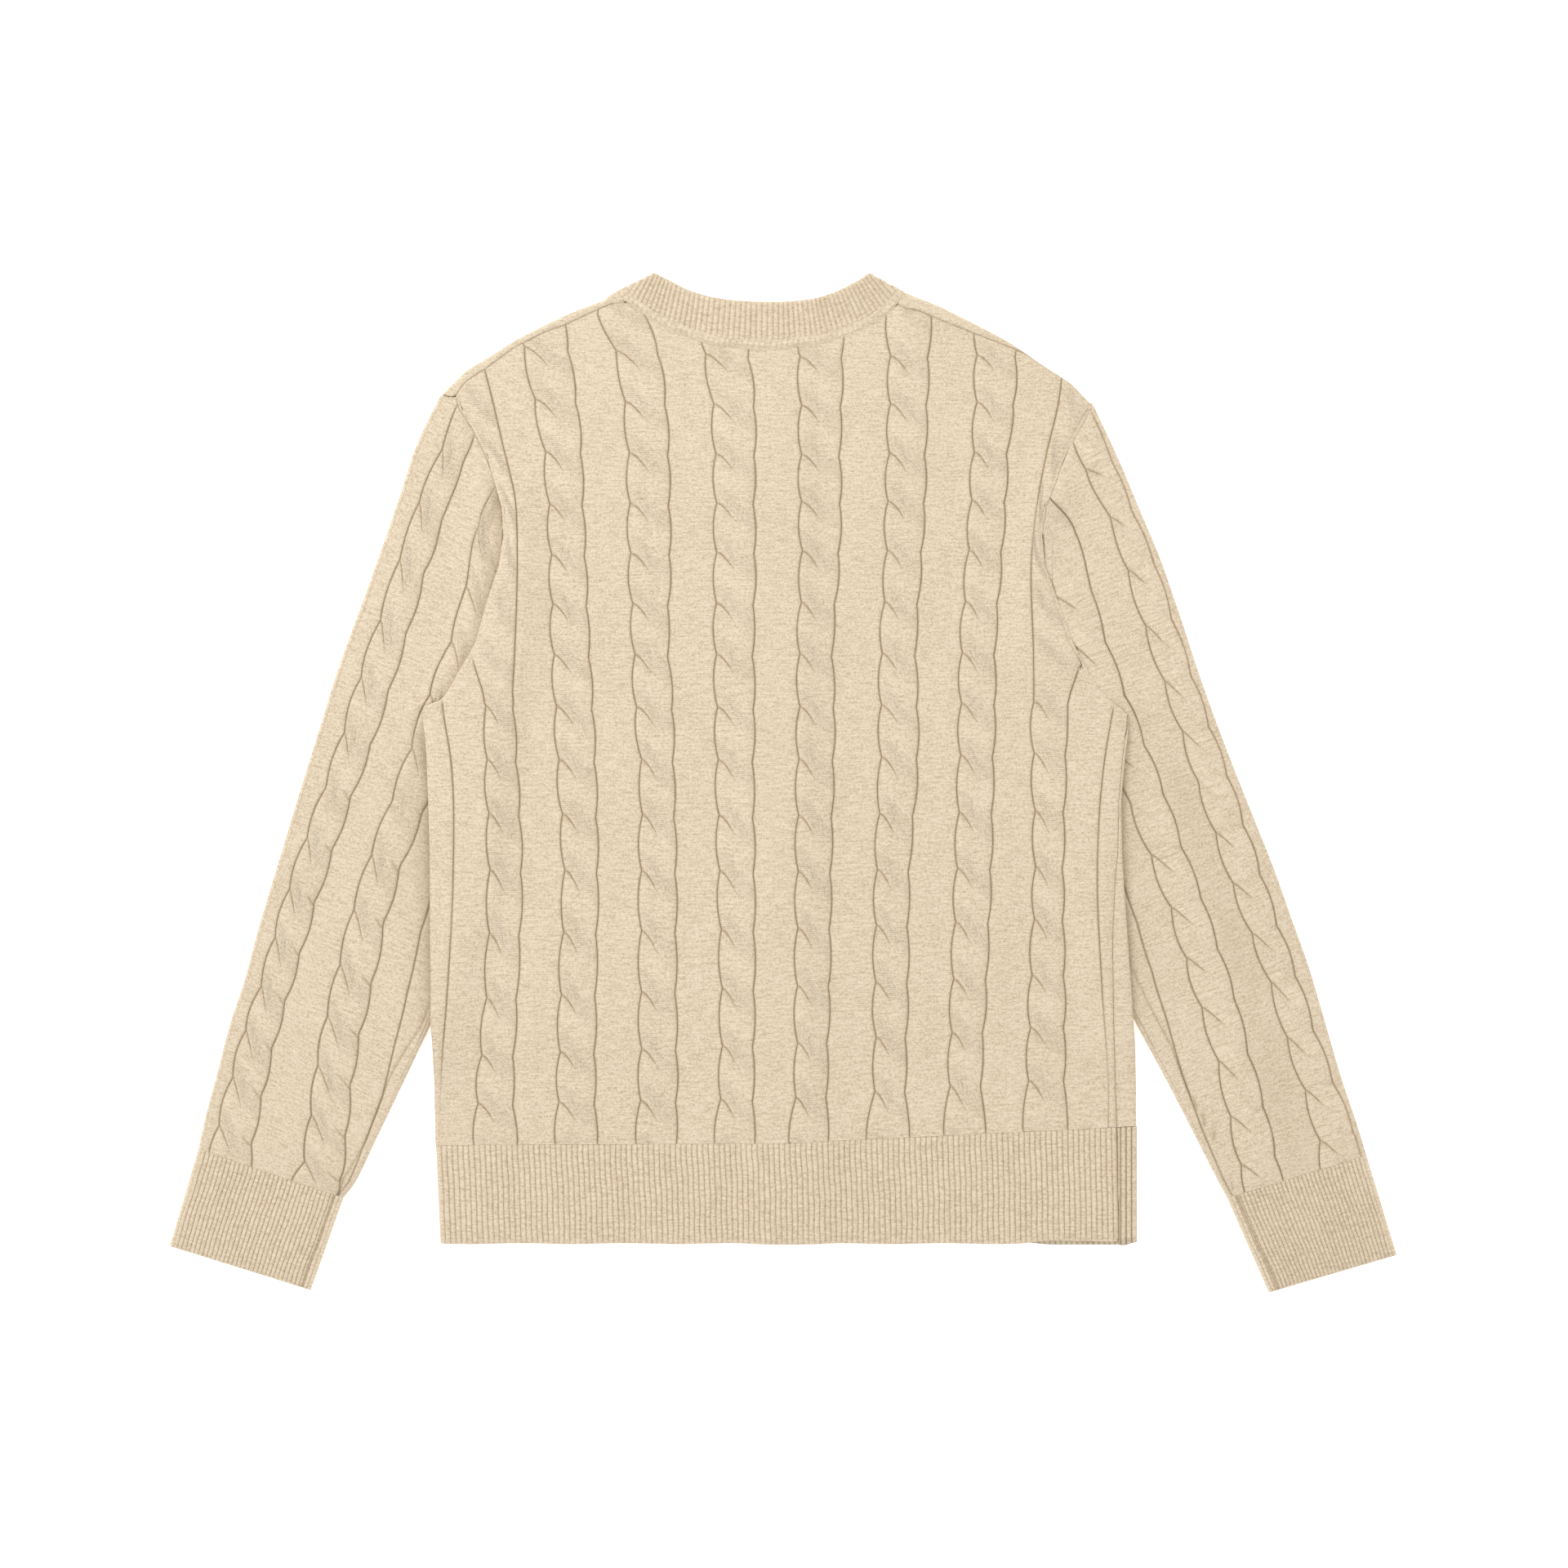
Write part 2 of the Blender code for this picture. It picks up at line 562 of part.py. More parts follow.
def slab(name, outline, lines, swells, colour=WOOL):
    """Plain wall on the front's floor: outline and lines are (x, y, folded) on the plan.

    folded is 0 where the wall is one layer and 1 where its fold brings it up to the back's face.
    """
    bm = bmesh.new()
    lines = lines + [[(*point, 0.0) for point in line] for line in swells]
    cells = list(outline) + [cell for line in lines for cell in line]
    edges = [(k, (k + 1) % len(outline)) for k in range(len(outline))]
    edges += constraints(len(outline), lines)
    plan = [place(cell[0], cell[1]) for cell in cells]
    rims = []
    for upper in (True, False):
        flat, _, faces, origins, _, _ = delaunay_2d_cdt(plan, edges, [], 1, 1e-7)
        verts = []
        for index, point in enumerate(flat):
            px, py = cells[origins[index][0]][:2]
            height = float(front_floor(px, py))
            if upper:
                height += WALL + (WALL + AIR) * cells[origins[index][0]][2]
            verts.append(bm.verts.new((point[0], point[1], height)))
        for face in faces:
            bm.faces.new([verts[index] for index in face])
        at = {origin: verts[index] for index, found in enumerate(origins) for origin in found}
        rims.append([at[k] for k in range(len(outline))])
    for k in range(len(outline)):
        after = (k + 1) % len(outline)
        bm.faces.new((rims[0][k], rims[0][after], rims[1][after], rims[1][k]))
    return finish(bm, name, colour)


def fold_lines(seam, fold):
    """Rounded fold between the outline and a seam on the back, as constraint lines."""
    lines = []
    for share, folded in ((0.25, 0.75), (0.55, 1.0), (1.0, 1.0)):
        line = []
        for (sx, sy), (fx, fy) in zip(seam, fold):
            line.append((fx + (sx - fx) * share, fy + (sy - fy) * share, folded))
        lines.append(line)
    inner = []
    for (sx, sy), (fx, fy) in zip(seam, fold):
        away = math.hypot(sx - fx, sy - fy)
        inner.append((sx + (sx - fx) / away * 0.35, sy + (sy - fy) / away * 0.35, 0.0))
    return lines + [inner]


def shoulder_lines(left_half):
    """Fold of a front's shoulder."""
    if left_half:
        stops = (560, 569, 595, 630, 668, 691, 734, 750)
        fold = LEFT_FOLD
    else:
        stops = (1112, 1126, 1155, 1185, 1215, 1232)
        fold = RIGHT_FOLD
    seams, folds = [], []
    for px in stops:
        top = float(table(fold, 1, px)) + 0.5
        folds.append((px, top))
        seams.append((px, max(float(table(BACK_TOP, 1, px)) - 0.4, top + 3.0)))
    return fold_lines(seams, folds)


def side_line(stops):
    """The right front's side, folded onto the back as far as the side seam."""
    seams, folds = [], []
    for py in stops:
        edge = float(table(EDGES, 2, py)) - 0.5
        folds.append((edge, py))
        seams.append((float(side_seam(py)) + 0.4, py))
    return fold_lines(seams, folds)


def fold_end(line):
    """Outline points across the right side's fold where it ends at a line y(x)."""
    at = float(line(1370.0))
    seam = float(side_seam(at)) + 0.4
    edge = float(table(EDGES, 2, at)) - 0.5
    cells = [(seam - 0.35, 0.0), (seam, 1.0), (edge + (seam - edge) * 0.55, 1.0),
             (edge + (seam - edge) * 0.25, 0.75), (edge, 0.1)]
    return [(px, float(line(px)), folded) for px, folded in cells]


def front_outline(left_half):
    """Outline of a front, once round."""
    fold = LEFT_FOLD if left_half else RIGHT_FOLD
    outline = [(px, py + 0.3, 0.1) for px, py in fold]
    neck = [(row[0] - 0.35, row[1] + 0.35, 0.0) for row in NECK_FRONT[1:]]
    column = 1 if left_half else 2
    inset = 0.3 if left_half else -0.3
    stops = [px for px in RIB_STOPS if (px < 963.0) == left_half]
    if not left_half:
        neck = [(2 * axis_x(py) - px, py, 0.0) for px, py, _ in neck]
        outline = outline[::-1]
        stops = stops[::-1]
    outline += neck
    beside = (-BAND_HALF - 0.6) if left_half else (BAND_HALF + 0.6)
    corner = [row for row in EDGES if row[0] < 1399]
    outline += [(axis_x(py) + beside, py, 0.0) for py in (621, 736, 865, 1000, 1151, 1300)]
    middle = axis_x(1400.0) + beside
    outline += [(px, float(course_y(15.8, px)) - 0.4, 0.0) for px in [middle] + stops]
    if left_half:
        outline.append((533.3, float(course_y(15.8, 533.3)) - 0.4, 0.0))
    else:
        outline += fold_end(lambda px: course_y(15.8, px) - 0.4)
    for row in corner[::-1]:
        if row[0] > 497 and row[0] < outline[-1][1] - 3.0:
            folded = 0.1 if not left_half and row[0] > 890 else 0.0
            outline.append((row[column] + inset, row[0], folded))
    if left_half:
        outline.append((558.3, 489.5, 0.0))
    return outline


def build_front(side):
    """One front: flat underneath, its shoulder (and the right one's side) folded onto the back."""
    left_half = side == "left"
    lines = shoulder_lines(left_half)
    if not left_half:
        lines += side_line((905, 925, 980, 1043, 1080, 1151, 1205, 1254, 1281, 1308, 1332, 1356, 1375))

    def in_front(px, py):
        if left_half:
            tops = LEFT_FOLD + tuple(row[:2] for row in NECK_FRONT[1:])
            low, high = float(table(EDGES, 1, py)) + 4.0, axis_x(py) - 27.9
        else:
            neck = tuple((2 * axis_x(row[1]) - row[0], row[1]) for row in NECK_FRONT[:0:-1])
            tops = neck + RIGHT_FOLD
            low = axis_x(py) + 27.9
            high = float(table(EDGES, 2, py)) - (5.0 if py < 890 else 30.0)
        return (low < px < high and float(table(tops, 1, px)) + 24.0 < py
                and py < float(course_y(15.8, px)) - 8.0)

    slab("front_" + side, front_outline(left_half), lines, swell_lines(in_front))


def build_hem_front(side):
    """Hem of a front, plain where it rests."""
    left_half = side == "left"
    beside = (-BAND_HALF - 0.6) if left_half else (BAND_HALF + 0.6)
    middle = axis_x(1400.0) + beside
    stops = [px for px in RIB_STOPS if (px < 963.0) == left_half]
    if not left_half:
        stops = stops[::-1]

    def top(px):
        return course_y(15.8, px) + 0.4

    def foot(px):
        return 1522.0 if left_half else 1522.0 + 6.0 * ease((px - 1150.0) / 120.0)

    outline = [(px, float(top(px)), 0.0) for px in [middle] + stops]
    if left_half:
        outline += [(533.3, float(top(533.3)), 0.0), (537.3, 1460.0, 0.0), (539.3, 1522.0, 0.0)]
        lines = []
    else:
        outline += fold_end(top) + [(1392.7, 1460.0, 0.1)] + fold_end(foot)[::-1]
        lines = side_line((1386, 1420, 1460, 1500, 1522))
    outline += [(px, float(foot(px)), 0.0) for px in stops[::-1] if abs(px - axis_x(1522.0)) > 28.0]
    outline.append((axis_x(1522.0) + beside, 1522.0, 0.0))
    slab("hem_front_" + side, outline, lines, [[(px, 1462.0)] for px in stops[2:]])


def tube(name, top, rows, cols):
    """Flattened tube, open at both ends, under a grid of upper points from fold to fold.

    rows and cols are the grid's rows and columns kept by the plain underside and the inside.
    """
    bm = bmesh.new()
    upper = skin(bm, top)

    def layer(height, columns):
        points = top[np.ix_(rows, columns)].copy()
        points[:, :, 2] = height
        return points

    under = layer(0.0, cols)
    under[:, 0, 2] = under[:, -1, 2] = MID_Z - 0.0018
    lower = skin(bm, under)
    core = cols[1:-1]
    roof = skin(bm, layer(BACK_Z, core))
    bed = skin(bm, layer(WALL, core))
    for end in (0, -1):
        side = [(i, upper[i][end]) for i in range(len(upper))]
        lace(bm, side, [(rows[k], lower[k][end]) for k in range(len(rows))])
        lace(bm, [(k, roof[k][end]) for k in range(len(rows))],
             [(k, bed[k][end]) for k in range(len(rows))])
        lace(bm, [(j, upper[end][j]) for j in range(len(upper[0]))],
             [(core[k], roof[end][k]) for k in range(len(core))])
        lace(bm, [(cols[k], lower[end][k]) for k in range(len(cols))],
             [(core[k], bed[end][k]) for k in range(len(core))])
        for corner in (0, -1):
            bm.faces.new((upper[end][corner], roof[end][corner], bed[end][corner], lower[end][corner]))
    return finish(bm, name, WOOL)


def sleeve_point(rows, crossing, share):
    """Plan point of a sleeve at a crossing number and a share across it."""
    outer = (table(rows, 1, crossing), table(rows, 2, crossing))
    inner = (table(rows, 3, crossing), table(rows, 4, crossing))
    return (float(outer[0] + (inner[0] - outer[0]) * share),
            float(outer[1] + (inner[1] - outer[1]) * share))


def sleeve_head(rows, side):
    """Fraction across, crossing number where the armhole seam cuts the sleeve."""
    head = []
    for share in np.linspace(0.0, 1.0, 41):
        found = 1.0
        for crossing in np.linspace(-0.8, 1.0, 181):
            px, py = sleeve_point(rows, crossing, share)
            if side == "right":
                beside = px >= float(table(EDGES, 2, py)) + 1.5
            elif py < 489.5:
                beside = py >= float(np.interp(px, (541.0, 558.0), (483.0, 489.5))) + 1.5
            else:
                beside = px <= float(table(EDGES, 1, py)) - 1.5
            if beside:
                found = crossing
                break
        head.append((share, found))
    return tuple(head)


def build_sleeve(side):
    """Set-in sleeve with two cables."""
    rows = LEFT_SLEEVE if side == "left" else RIGHT_SLEEVE
    head = sleeve_head(rows, side)
    kinds = ["left", "cable", "plain", "cable", "plain", "right"]
    starts = [step + part for step in range(-1, 14) for part in ROWS_PER_CROSSING]
    starts = [-2.0] + [value for value in starts if -0.8 < value < 13.5] + [13.6]
    roll = 2 * MID_Z / GRID / 2
    columns = [(band, share, kind) for band, share, kind in knit_columns(kinds)]
    columns = [item for item in columns if not (item[0] in (0, 5) and item[1] in (0.0, 1.0, 0.5))]
    columns = [(-1, 0.0, "fold"), (-1, 0.35, "fold"), (-1, 1.0, "fold")] + columns
    columns += [(5, 0.0, "plain"), (6, 1.0, "fold"), (6, 0.35, "fold"), (6, 0.0, "fold")]
    mirror = side == "right"
    count = len(starts)
    grid = np.zeros((count, len(columns), 3))
    for row, crossing in enumerate(starts):
        for col, (band, share, kind) in enumerate(columns):
            grid[row, col] = sleeve_node(rows, head, kinds, crossing, row, count, band, share, kind,
                                         roll, mirror)
    keep = [0, 1, 2, 3, 4, 6] + list(range(8, count - 3, 3)) + [count - 1]
    width = len(columns)
    tube("sleeve_" + side, grid, keep, [1, 2, 8, width // 2, width - 9, width - 3, width - 2])


def sleeve_node(rows, head, kinds, crossing, row, count, band, share, kind, roll, mirror):
    """One upper point of a sleeve."""
    skew = 0.0
    if kind == "cable":
        skew = 2.0 * SKEW * share
    elif kind == "plain" and 0 < band < 5:
        skew = 2.0 * SKEW * (1.0 - share)
    if mirror and kind in ("cable", "plain"):
        skew = 0.0 if kind == "plain" and band in (0, 5) else skew
    lag = crossing + (2.0 * SKEW - skew if mirror and kind in ("cable", "plain") and 0 < band < 5
                      else skew)
    lag = min(lag, 13.6 - 0.014 * (count - 1 - row))
    fold_height = {0.0: MID_Z, 0.35: MID_Z + 0.0019, 1.0: BACK_Z + WALL}
    across = 0.5
    for _ in range(5):
        lag_here = max(lag, float(table(head, 1, across)) + 0.014 * row)
        lines = [0.0] + [float(table(rows, 5 + k, lag_here)) for k in range(5)] + [1.0]
        outer = sleeve_point(rows, lag_here, 0.0)
        inner = sleeve_point(rows, lag_here, 1.0)
        wide = math.hypot(inner[0] - outer[0], inner[1] - outer[1])
        rim = roll / wide
        phase = lag_here % 1.0
        lines[1] -= BULGE / wide * math.sin(math.pi * phase) ** 0.8 * 0.6
        lines[3] -= BULGE / wide * math.sin(math.pi * phase) ** 0.8 * 0.8
        for index in range(1, 6):
            lines[index] = max(lines[index], rim * (1.3 + 0.3 * index), lines[index - 1] + 0.012)
        for index in range(5, 0, -1):
            lines[index] = min(lines[index], 1.0 - rim * (1.3 + 0.3 * (6 - index)),
                               lines[index + 1] - 0.012)
        if kind == "fold":
            across = rim * share if band < 0 else 1.0 - rim * share
        else:
            across = lines[band] + (lines[band + 1] - lines[band]) * share
    px, py = sleeve_point(rows, lag_here, across)
    if kind == "fold":
        return (*place(px, py), fold_height[share])
    turned = 1.0 - share if mirror and kind == "cable" else share
    width = (lines[band + 1] - lines[band]) * wide
    free = float(ease((width - 6.0) / 20.0)) if kind == "cable" else 1.0
    start = float(table(head, 1, across))
    free *= 0.3 + 0.7 * float(ease((lag_here - start) / 0.25))
    height = relief(turned, kind, lag_here, free)
    if kind == "plain" and band == 5:
        height = -GROOVE * 0.6
    return (*place(px, py), BACK_Z + WALL + height)


def build_cuff(side):
    """Ribbed cuff, a flattened tube like its sleeve."""
    top_outer, top_inner, foot_outer, foot_inner = LEFT_CUFF if side == "left" else RIGHT_CUFF
    roll = MID_Z / GRID
    steps = 2 * CUFF_RIBS
    cells = []
    for row, (outer, inner) in enumerate(((top_outer, top_inner), (foot_outer, foot_inner))):
        outer = np.array(outer, dtype=float)
        inner = np.array(inner, dtype=float)
        along = (inner - outer) / np.linalg.norm(inner - outer)
        down = np.array(foot_outer, dtype=float) - np.array(top_outer, dtype=float)
        shift = down / np.linalg.norm(down) * (0.7 if row == 0 else 0.0)
        wide = np.linalg.norm(inner - outer)
        line = [(0.0, MID_Z), (0.35 * roll, MID_Z + 0.0019)]
        for step in range(steps + 1):
            ridge = RIB_RISE * (1.0 if step % 2 else -1.0)
            line.append((roll + (wide - 2 * roll) * step / steps, BACK_Z + WALL + ridge))
        line += [(wide - 0.35 * roll, MID_Z + 0.0019), (wide, MID_Z)]
        cells.append([(*place(*(outer + along * at + shift)), height) for at, height in line])
    grid = np.array(cells)
    last = grid.shape[1] - 1
    tube("cuff_" + side, grid, [0, 1], [1, 2, last // 2, last - 2, last - 1])


def strip(name, sections, colour=WOOL):
    """Solid strip lofted through sections of four points, closed at both ends."""
    bm = bmesh.new()
    rings = [[bm.verts.new(point) for point in section] for section in sections]
    for ring, after in zip(rings, rings[1:]):
        for k in range(4):
            bm.faces.new((ring[k], ring[(k + 1) % 4], after[(k + 1) % 4], after[k]))
    bm.faces.new(rings[0])
    bm.faces.new(rings[-1])
    return finish(bm, name, colour)


def neck_fold(seam, opening, outward):
    """Half turn of the neckband from the front's level up to the back's."""
    radius = MID_Z - WALL / 2
    sections = []
    for step in range(1, 6):
        angle = math.pi * step / 6.0
        out = np.array((outward[0] * math.sin(angle), outward[1] * math.sin(angle), -math.cos(angle)))
        section = []
        for point, far in ((seam, 1), (opening, 1), (opening, 0), (seam, 0)):
            reach = radius + (WALL / 2 if far else -WALL / 2)
            base = np.array((*place(*point), MID_Z))
            base[:2] -= np.array(outward) * (radius + WALL / 2)
            section.append(tuple(base + out * reach))
        sections.append(section)
    return sections


def flat_section(seam, opening, low, high, upward):
    """Section of the neckband where it lies flat; its outside faces up or down."""
    x0, y0 = place(*seam)
    x1, y1 = place(*opening)
    if upward:
        return [(x0, y0, high), (x1, y1, high), (x1, y1, low), (x0, y0, low)]
    return [(x0, y0, low), (x1, y1, low), (x1, y1, high), (x0, y0, high)]


def neck_rows(rows, count):
    """Rows of a neck table resampled to an even number of stations, inset from the seam."""
    cells = np.array(rows, dtype=float)
    reach = np.concatenate(((0.0,), np.cumsum(np.hypot(*np.diff(cells[:, :2], axis=0).T))))
    at = np.linspace(0.0, reach[-1], count)
    lines = [np.interp(at, reach, cells[:, k]) for k in range(4)]
    points = np.array(lines).T
    inset = points[:, 2:] - points[:, :2]
    inset /= np.linalg.norm(inset, axis=1)[:, None]
    points[:, :2] += inset * 0.6
    return points


def build_neckband():
    """Ribbed neckband in one strip: left front, back, right front."""
    front = neck_rows(NECK_FRONT, 12)
    back = neck_rows(NECK_BACK, 2 * NECK_RIBS + 1)
    sections = []
    for row in front[::-1]:
        lift = float(front_floor(row[0], row[1]))
        sections.append(flat_section(row[:2], row[2:], lift, lift + WALL, False))
    fold = np.array(NECK_BACK[0], dtype=float)
    across = fold[2:] - fold[:2]
    outward = np.array((across[1], across[0])) / np.linalg.norm(across)
    sections = sections[:-1] + neck_fold(back[0][:2], fold[2:], (outward[0], outward[1]))
    for step, row in enumerate(back[2:-2]):
        ridge = RIB_RISE * (1.0 if step % 2 else -1.0)
        low = float(back_floor(row[0], row[1]))
        sections.append(flat_section(row[:2], row[2:], low, low + WALL + ridge, True))
    fold = np.array(NECK_BACK[-1], dtype=float)
    across = fold[2:] - fold[:2]
    outward = np.array((-across[1], -across[0])) / np.linalg.norm(across)
    turned = neck_fold(back[-1][:2], fold[2:], (outward[0], outward[1]))
    sections += turned[::-1]
    mirrored = front.copy()
    mirrored[:, 0] = 2.0 * axis_x(mirrored[:, 1]) - mirrored[:, 0]
    mirrored[:, 2] = 2.0 * axis_x(mirrored[:, 3]) - mirrored[:, 2]
    share = np.linspace(0.0, 1.0, len(mirrored))[:, None]
    start = np.concatenate((back[-1][:2], fold[2:]))
    mirrored += (start - mirrored[0]) * (1.0 - share) ** 2
    for row in mirrored[1:]:
        lift = float(front_floor(row[0], row[1]))
        sections.append(flat_section(row[:2], row[2:], lift, lift + WALL, False))
    strip("neckband", sections)


def build_band(name, low):
    """Button band: a straight ribbed strip down the front edge."""
    foot_y = 1522.0
    sections = []
    for py in (500.0, 620.0, 900.0, 1200.0, foot_y):
        left, y = place(axis_x(py) - BAND_HALF, py)
        right, _ = place(axis_x(py) + BAND_HALF, py)
        sections.append([(left, y, low + BAND_WALL), (right, y, low + BAND_WALL), (right, y, low),
                         (left, y, low)])
    strip(name, sections)


def build_buttons():
    """Flat sewn buttons under the lower band."""
    for row in range(BUTTON_ROWS):
        py = 540.0 + (1490.0 - 540.0) * row / (BUTTON_ROWS - 1)
        bm = bmesh.new()
        bmesh.ops.create_cone(bm, cap_ends=True, segments=16, radius1=BUTTON_RADIUS * 0.94,
                              radius2=BUTTON_RADIUS, depth=BUTTON_THICK)
        x, y = place(axis_x(py), py)
        bmesh.ops.translate(bm, vec=(x, y, BUTTON_THICK / 2), verts=bm.verts[:])
        finish(bm, "button_%d" % (row + 1), HORN, 0.4)


def centre_all():
    """Put the middle of the garment's box over the origin."""
    points = [vert.co for piece in bpy.data.objects for vert in piece.data.vertices]
    low = [min(point[k] for point in points) for k in range(3)]
    high = [max(point[k] for point in points) for k in range(3)]
    shift = ((low[0] + high[0]) / 2, (low[1] + high[1]) / 2, low[2])
    for piece in bpy.data.objects:
        for vert in piece.data.vertices:
            vert.co.x -= shift[0]
            vert.co.y -= shift[1]
            vert.co.z -= shift[2]


def main():
    """Build every piece of the cardigan."""
    for piece in list(bpy.data.objects):
        bpy.data.objects.remove(piece)
    build_back()
    build_hem_back()
    for side in ("left", "right"):
        build_front(side)
        build_hem_front(side)
        build_sleeve(side)
        build_cuff(side)
    build_neckband()
    build_band("button_band_left", UPPER_BAND_Z)
    build_band("button_band_right", LOWER_BAND_Z)
    build_buttons()
    centre_all()


main()
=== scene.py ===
"""Looks of a cable knit cardigan lying flat with its back up.

Every knitted panel is a fine relief mesh on its solid's form. Plan tables hold x and y in the
steps of the lying garment's grid (x to the right, y down); GRID is the length of one step.
"""
import logging
import math
from dataclasses import dataclass, field
from enum import Enum

import bmesh
import bpy
import numpy as np
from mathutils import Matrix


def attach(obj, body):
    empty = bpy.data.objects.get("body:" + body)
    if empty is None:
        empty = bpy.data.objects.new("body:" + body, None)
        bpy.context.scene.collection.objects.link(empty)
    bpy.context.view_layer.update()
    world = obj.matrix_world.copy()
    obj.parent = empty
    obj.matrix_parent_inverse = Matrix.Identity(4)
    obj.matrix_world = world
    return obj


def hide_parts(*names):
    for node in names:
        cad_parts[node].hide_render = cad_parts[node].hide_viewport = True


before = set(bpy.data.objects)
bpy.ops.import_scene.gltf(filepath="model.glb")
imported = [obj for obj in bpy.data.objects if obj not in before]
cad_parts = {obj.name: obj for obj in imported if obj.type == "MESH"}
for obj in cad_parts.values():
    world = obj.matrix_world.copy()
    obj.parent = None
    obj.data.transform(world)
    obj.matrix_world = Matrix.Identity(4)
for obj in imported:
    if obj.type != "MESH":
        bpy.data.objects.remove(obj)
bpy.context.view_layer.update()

LOG = logging.getLogger("cardigan")

GRID = 0.00058
CENTRE = (959.0, 958.5)
WALL = 0.0022
AIR = 0.0008
BACK_Z = WALL + AIR
MID_Z = (BACK_Z + WALL) / 2
SIDE_RISE = 0.0070
PLACKET_RISE = 0.0039
LOWER_BAND_Z = 0.0020
UPPER_BAND_Z = 0.0040
BAND_WALL = 0.0017
BAND_HALF = 26.0
BUTTON_ROWS = 6
BUTTON_RADIUS = 0.0100
BUTTON_THICK = 0.0018

CROWN = 0.0013          # top of a cable above the plain knit
GROOVE = 0.0010         # purl column beside a cable, below the plain knit
BULGE = 4.5             # swing of a cable's crossing side between crossings, in grid steps
WAVE = 3.2              # swing of its other side
CROSSING = 62.0         # grid steps from one crossing to the next
WALES = 14              # stitch columns of a cable
COURSES_EACH = 27.0     # stitch rows from one crossing to the next

HEM_CROSSING = 15.8     # crossing number where the body meets its hem
CUFF_CROSSING = 13.6    # crossing number where a sleeve meets its cuff
MIDDLE_X = 958.0        # x of the back's middle
NECK_AXIS = (931.0, 357.0)  # middle of the hidden front at the neckband's fold
AXIS_LEAN = 0.031       # sideways steps of that middle for each step down
FOOT_STEP_X = 1245.0    # x where the two hems' feet begin to part
ARMHOLE_Y = 870.0       # y of the armholes' lower ends
HEM_TOP_Y = 1380.0      # y from which the hems' stitch rows are counted
ROW_STEP = 2.3          # depth of one rib stitch, in grid steps
CURL_SHARE = 0.93       # share of a round fold that the fronts' folded edges follow
GROOVE_WIDTH = 1.15     # half width of a groove's dip, in grid steps
GROOVE_SHADE = 0.95     # half width of the shade painted into it

# Body courses: crossing number, y in the middle, and how far the row drifts at the left and right.
COURSES = np.array((
    (-1.0, 315, 0, 0),
    (0.0, 376, -8, -2),
    (1.0, 437, -14, -4),
    (2.0, 497, -10, -8),
    (3.0, 557, -5, -6),
    (4.0, 615, 3, -4),
    (5.0, 675, 5, -3),
    (6.0, 738, 2, -3),
    (7.0, 801, 1, -3),
    (8.0, 866, -1, -9),
    (9.0, 930, 0, -10),
    (10.0, 999, -3, -8),
    (11.0, 1067, -2, -7),
    (12.0, 1137, 6, -15),
    (13.0, 1208, 14, -18),
    (14.0, 1278, 14, -27),
    (15.0, 1345, 6, -30),
    (15.8, 1400, 2, -20),
    (16.8, 1465, 2, -20),
))

# Body grooves: name, then x at each of GROOVE_Y. L and R are a cable's left and right groove.
GROOVE_Y = (384, 430, 490, 550, 610, 680, 800, 865, 930, 1065, 1210, 1345, 1400)
GROOVES = (
    ("0R", 540, 540, 540, 540, 540, 540, 540, 543, 553, 556, 549, 539, 538),
    ("1L", 560, 560, 560, 565, 570, 575, 578, 596, 598, 601, 597, 586, 583),
    ("1R", 578, 588, 603, 617, 631, 634, 631, 628, 631, 637, 632, 627, 631),
    ("2L", 632, 644, 656, 668, 673, 676, 679, 682, 685, 692, 688, 685, 683),
    ("2R", 687, 695, 704, 710, 712, 715, 720, 724, 727, 730, 728, 727, 729),
    ("3L", 735, 755, 766, 771, 772, 773, 778, 780, 786, 786, 786, 785, 782),
    ("3R", 787, 804, 813, 817, 818, 819, 817, 822, 823, 826, 826, 827, 826),
    ("4L", 857, 864, 874, 877, 878, 878, 878, 879, 880, 882, 885, 883, 878),
    ("4R", 912, 915, 922, 923, 922, 923, 921, 922, 921, 922, 922, 921, 922),
    ("5L", 979, 980, 982, 982, 982, 983, 980, 980, 979, 978, 977, 975, 969),
    ("5R", 1031, 1030, 1029, 1027, 1028, 1026, 1018, 1020, 1019, 1016, 1014, 1011, 1012),
    ("6L", 1088, 1091, 1091, 1090, 1088, 1087, 1081, 1080, 1080, 1075, 1073, 1071, 1063),
    ("6R", 1139, 1136, 1134, 1132, 1131, 1127, 1120, 1122, 1122, 1112, 1110, 1108, 1112),
    ("7L", 1197, 1197, 1197, 1194, 1191, 1187, 1179, 1178, 1177, 1173, 1168, 1163, 1158),
    ("7R", 1244, 1243, 1241, 1233, 1230, 1225, 1217, 1217, 1215, 1212, 1206, 1201, 1206),
    ("8L", 1302, 1302, 1297, 1283, 1271, 1263, 1265, 1266, 1267, 1269, 1264, 1259, 1255),
    ("8R", 1345, 1345, 1343, 1340, 1336, 1330, 1326, 1306, 1303, 1300, 1302, 1303, 1306),
    ("9L", 1400, 1400, 1400, 1400, 1400, 1390, 1375, 1363, 1352, 1343, 1349, 1358, 1357),
)
# The outermost cables cross only below the armholes, from this y.
OUTER_CROSSED_Y = 848.0

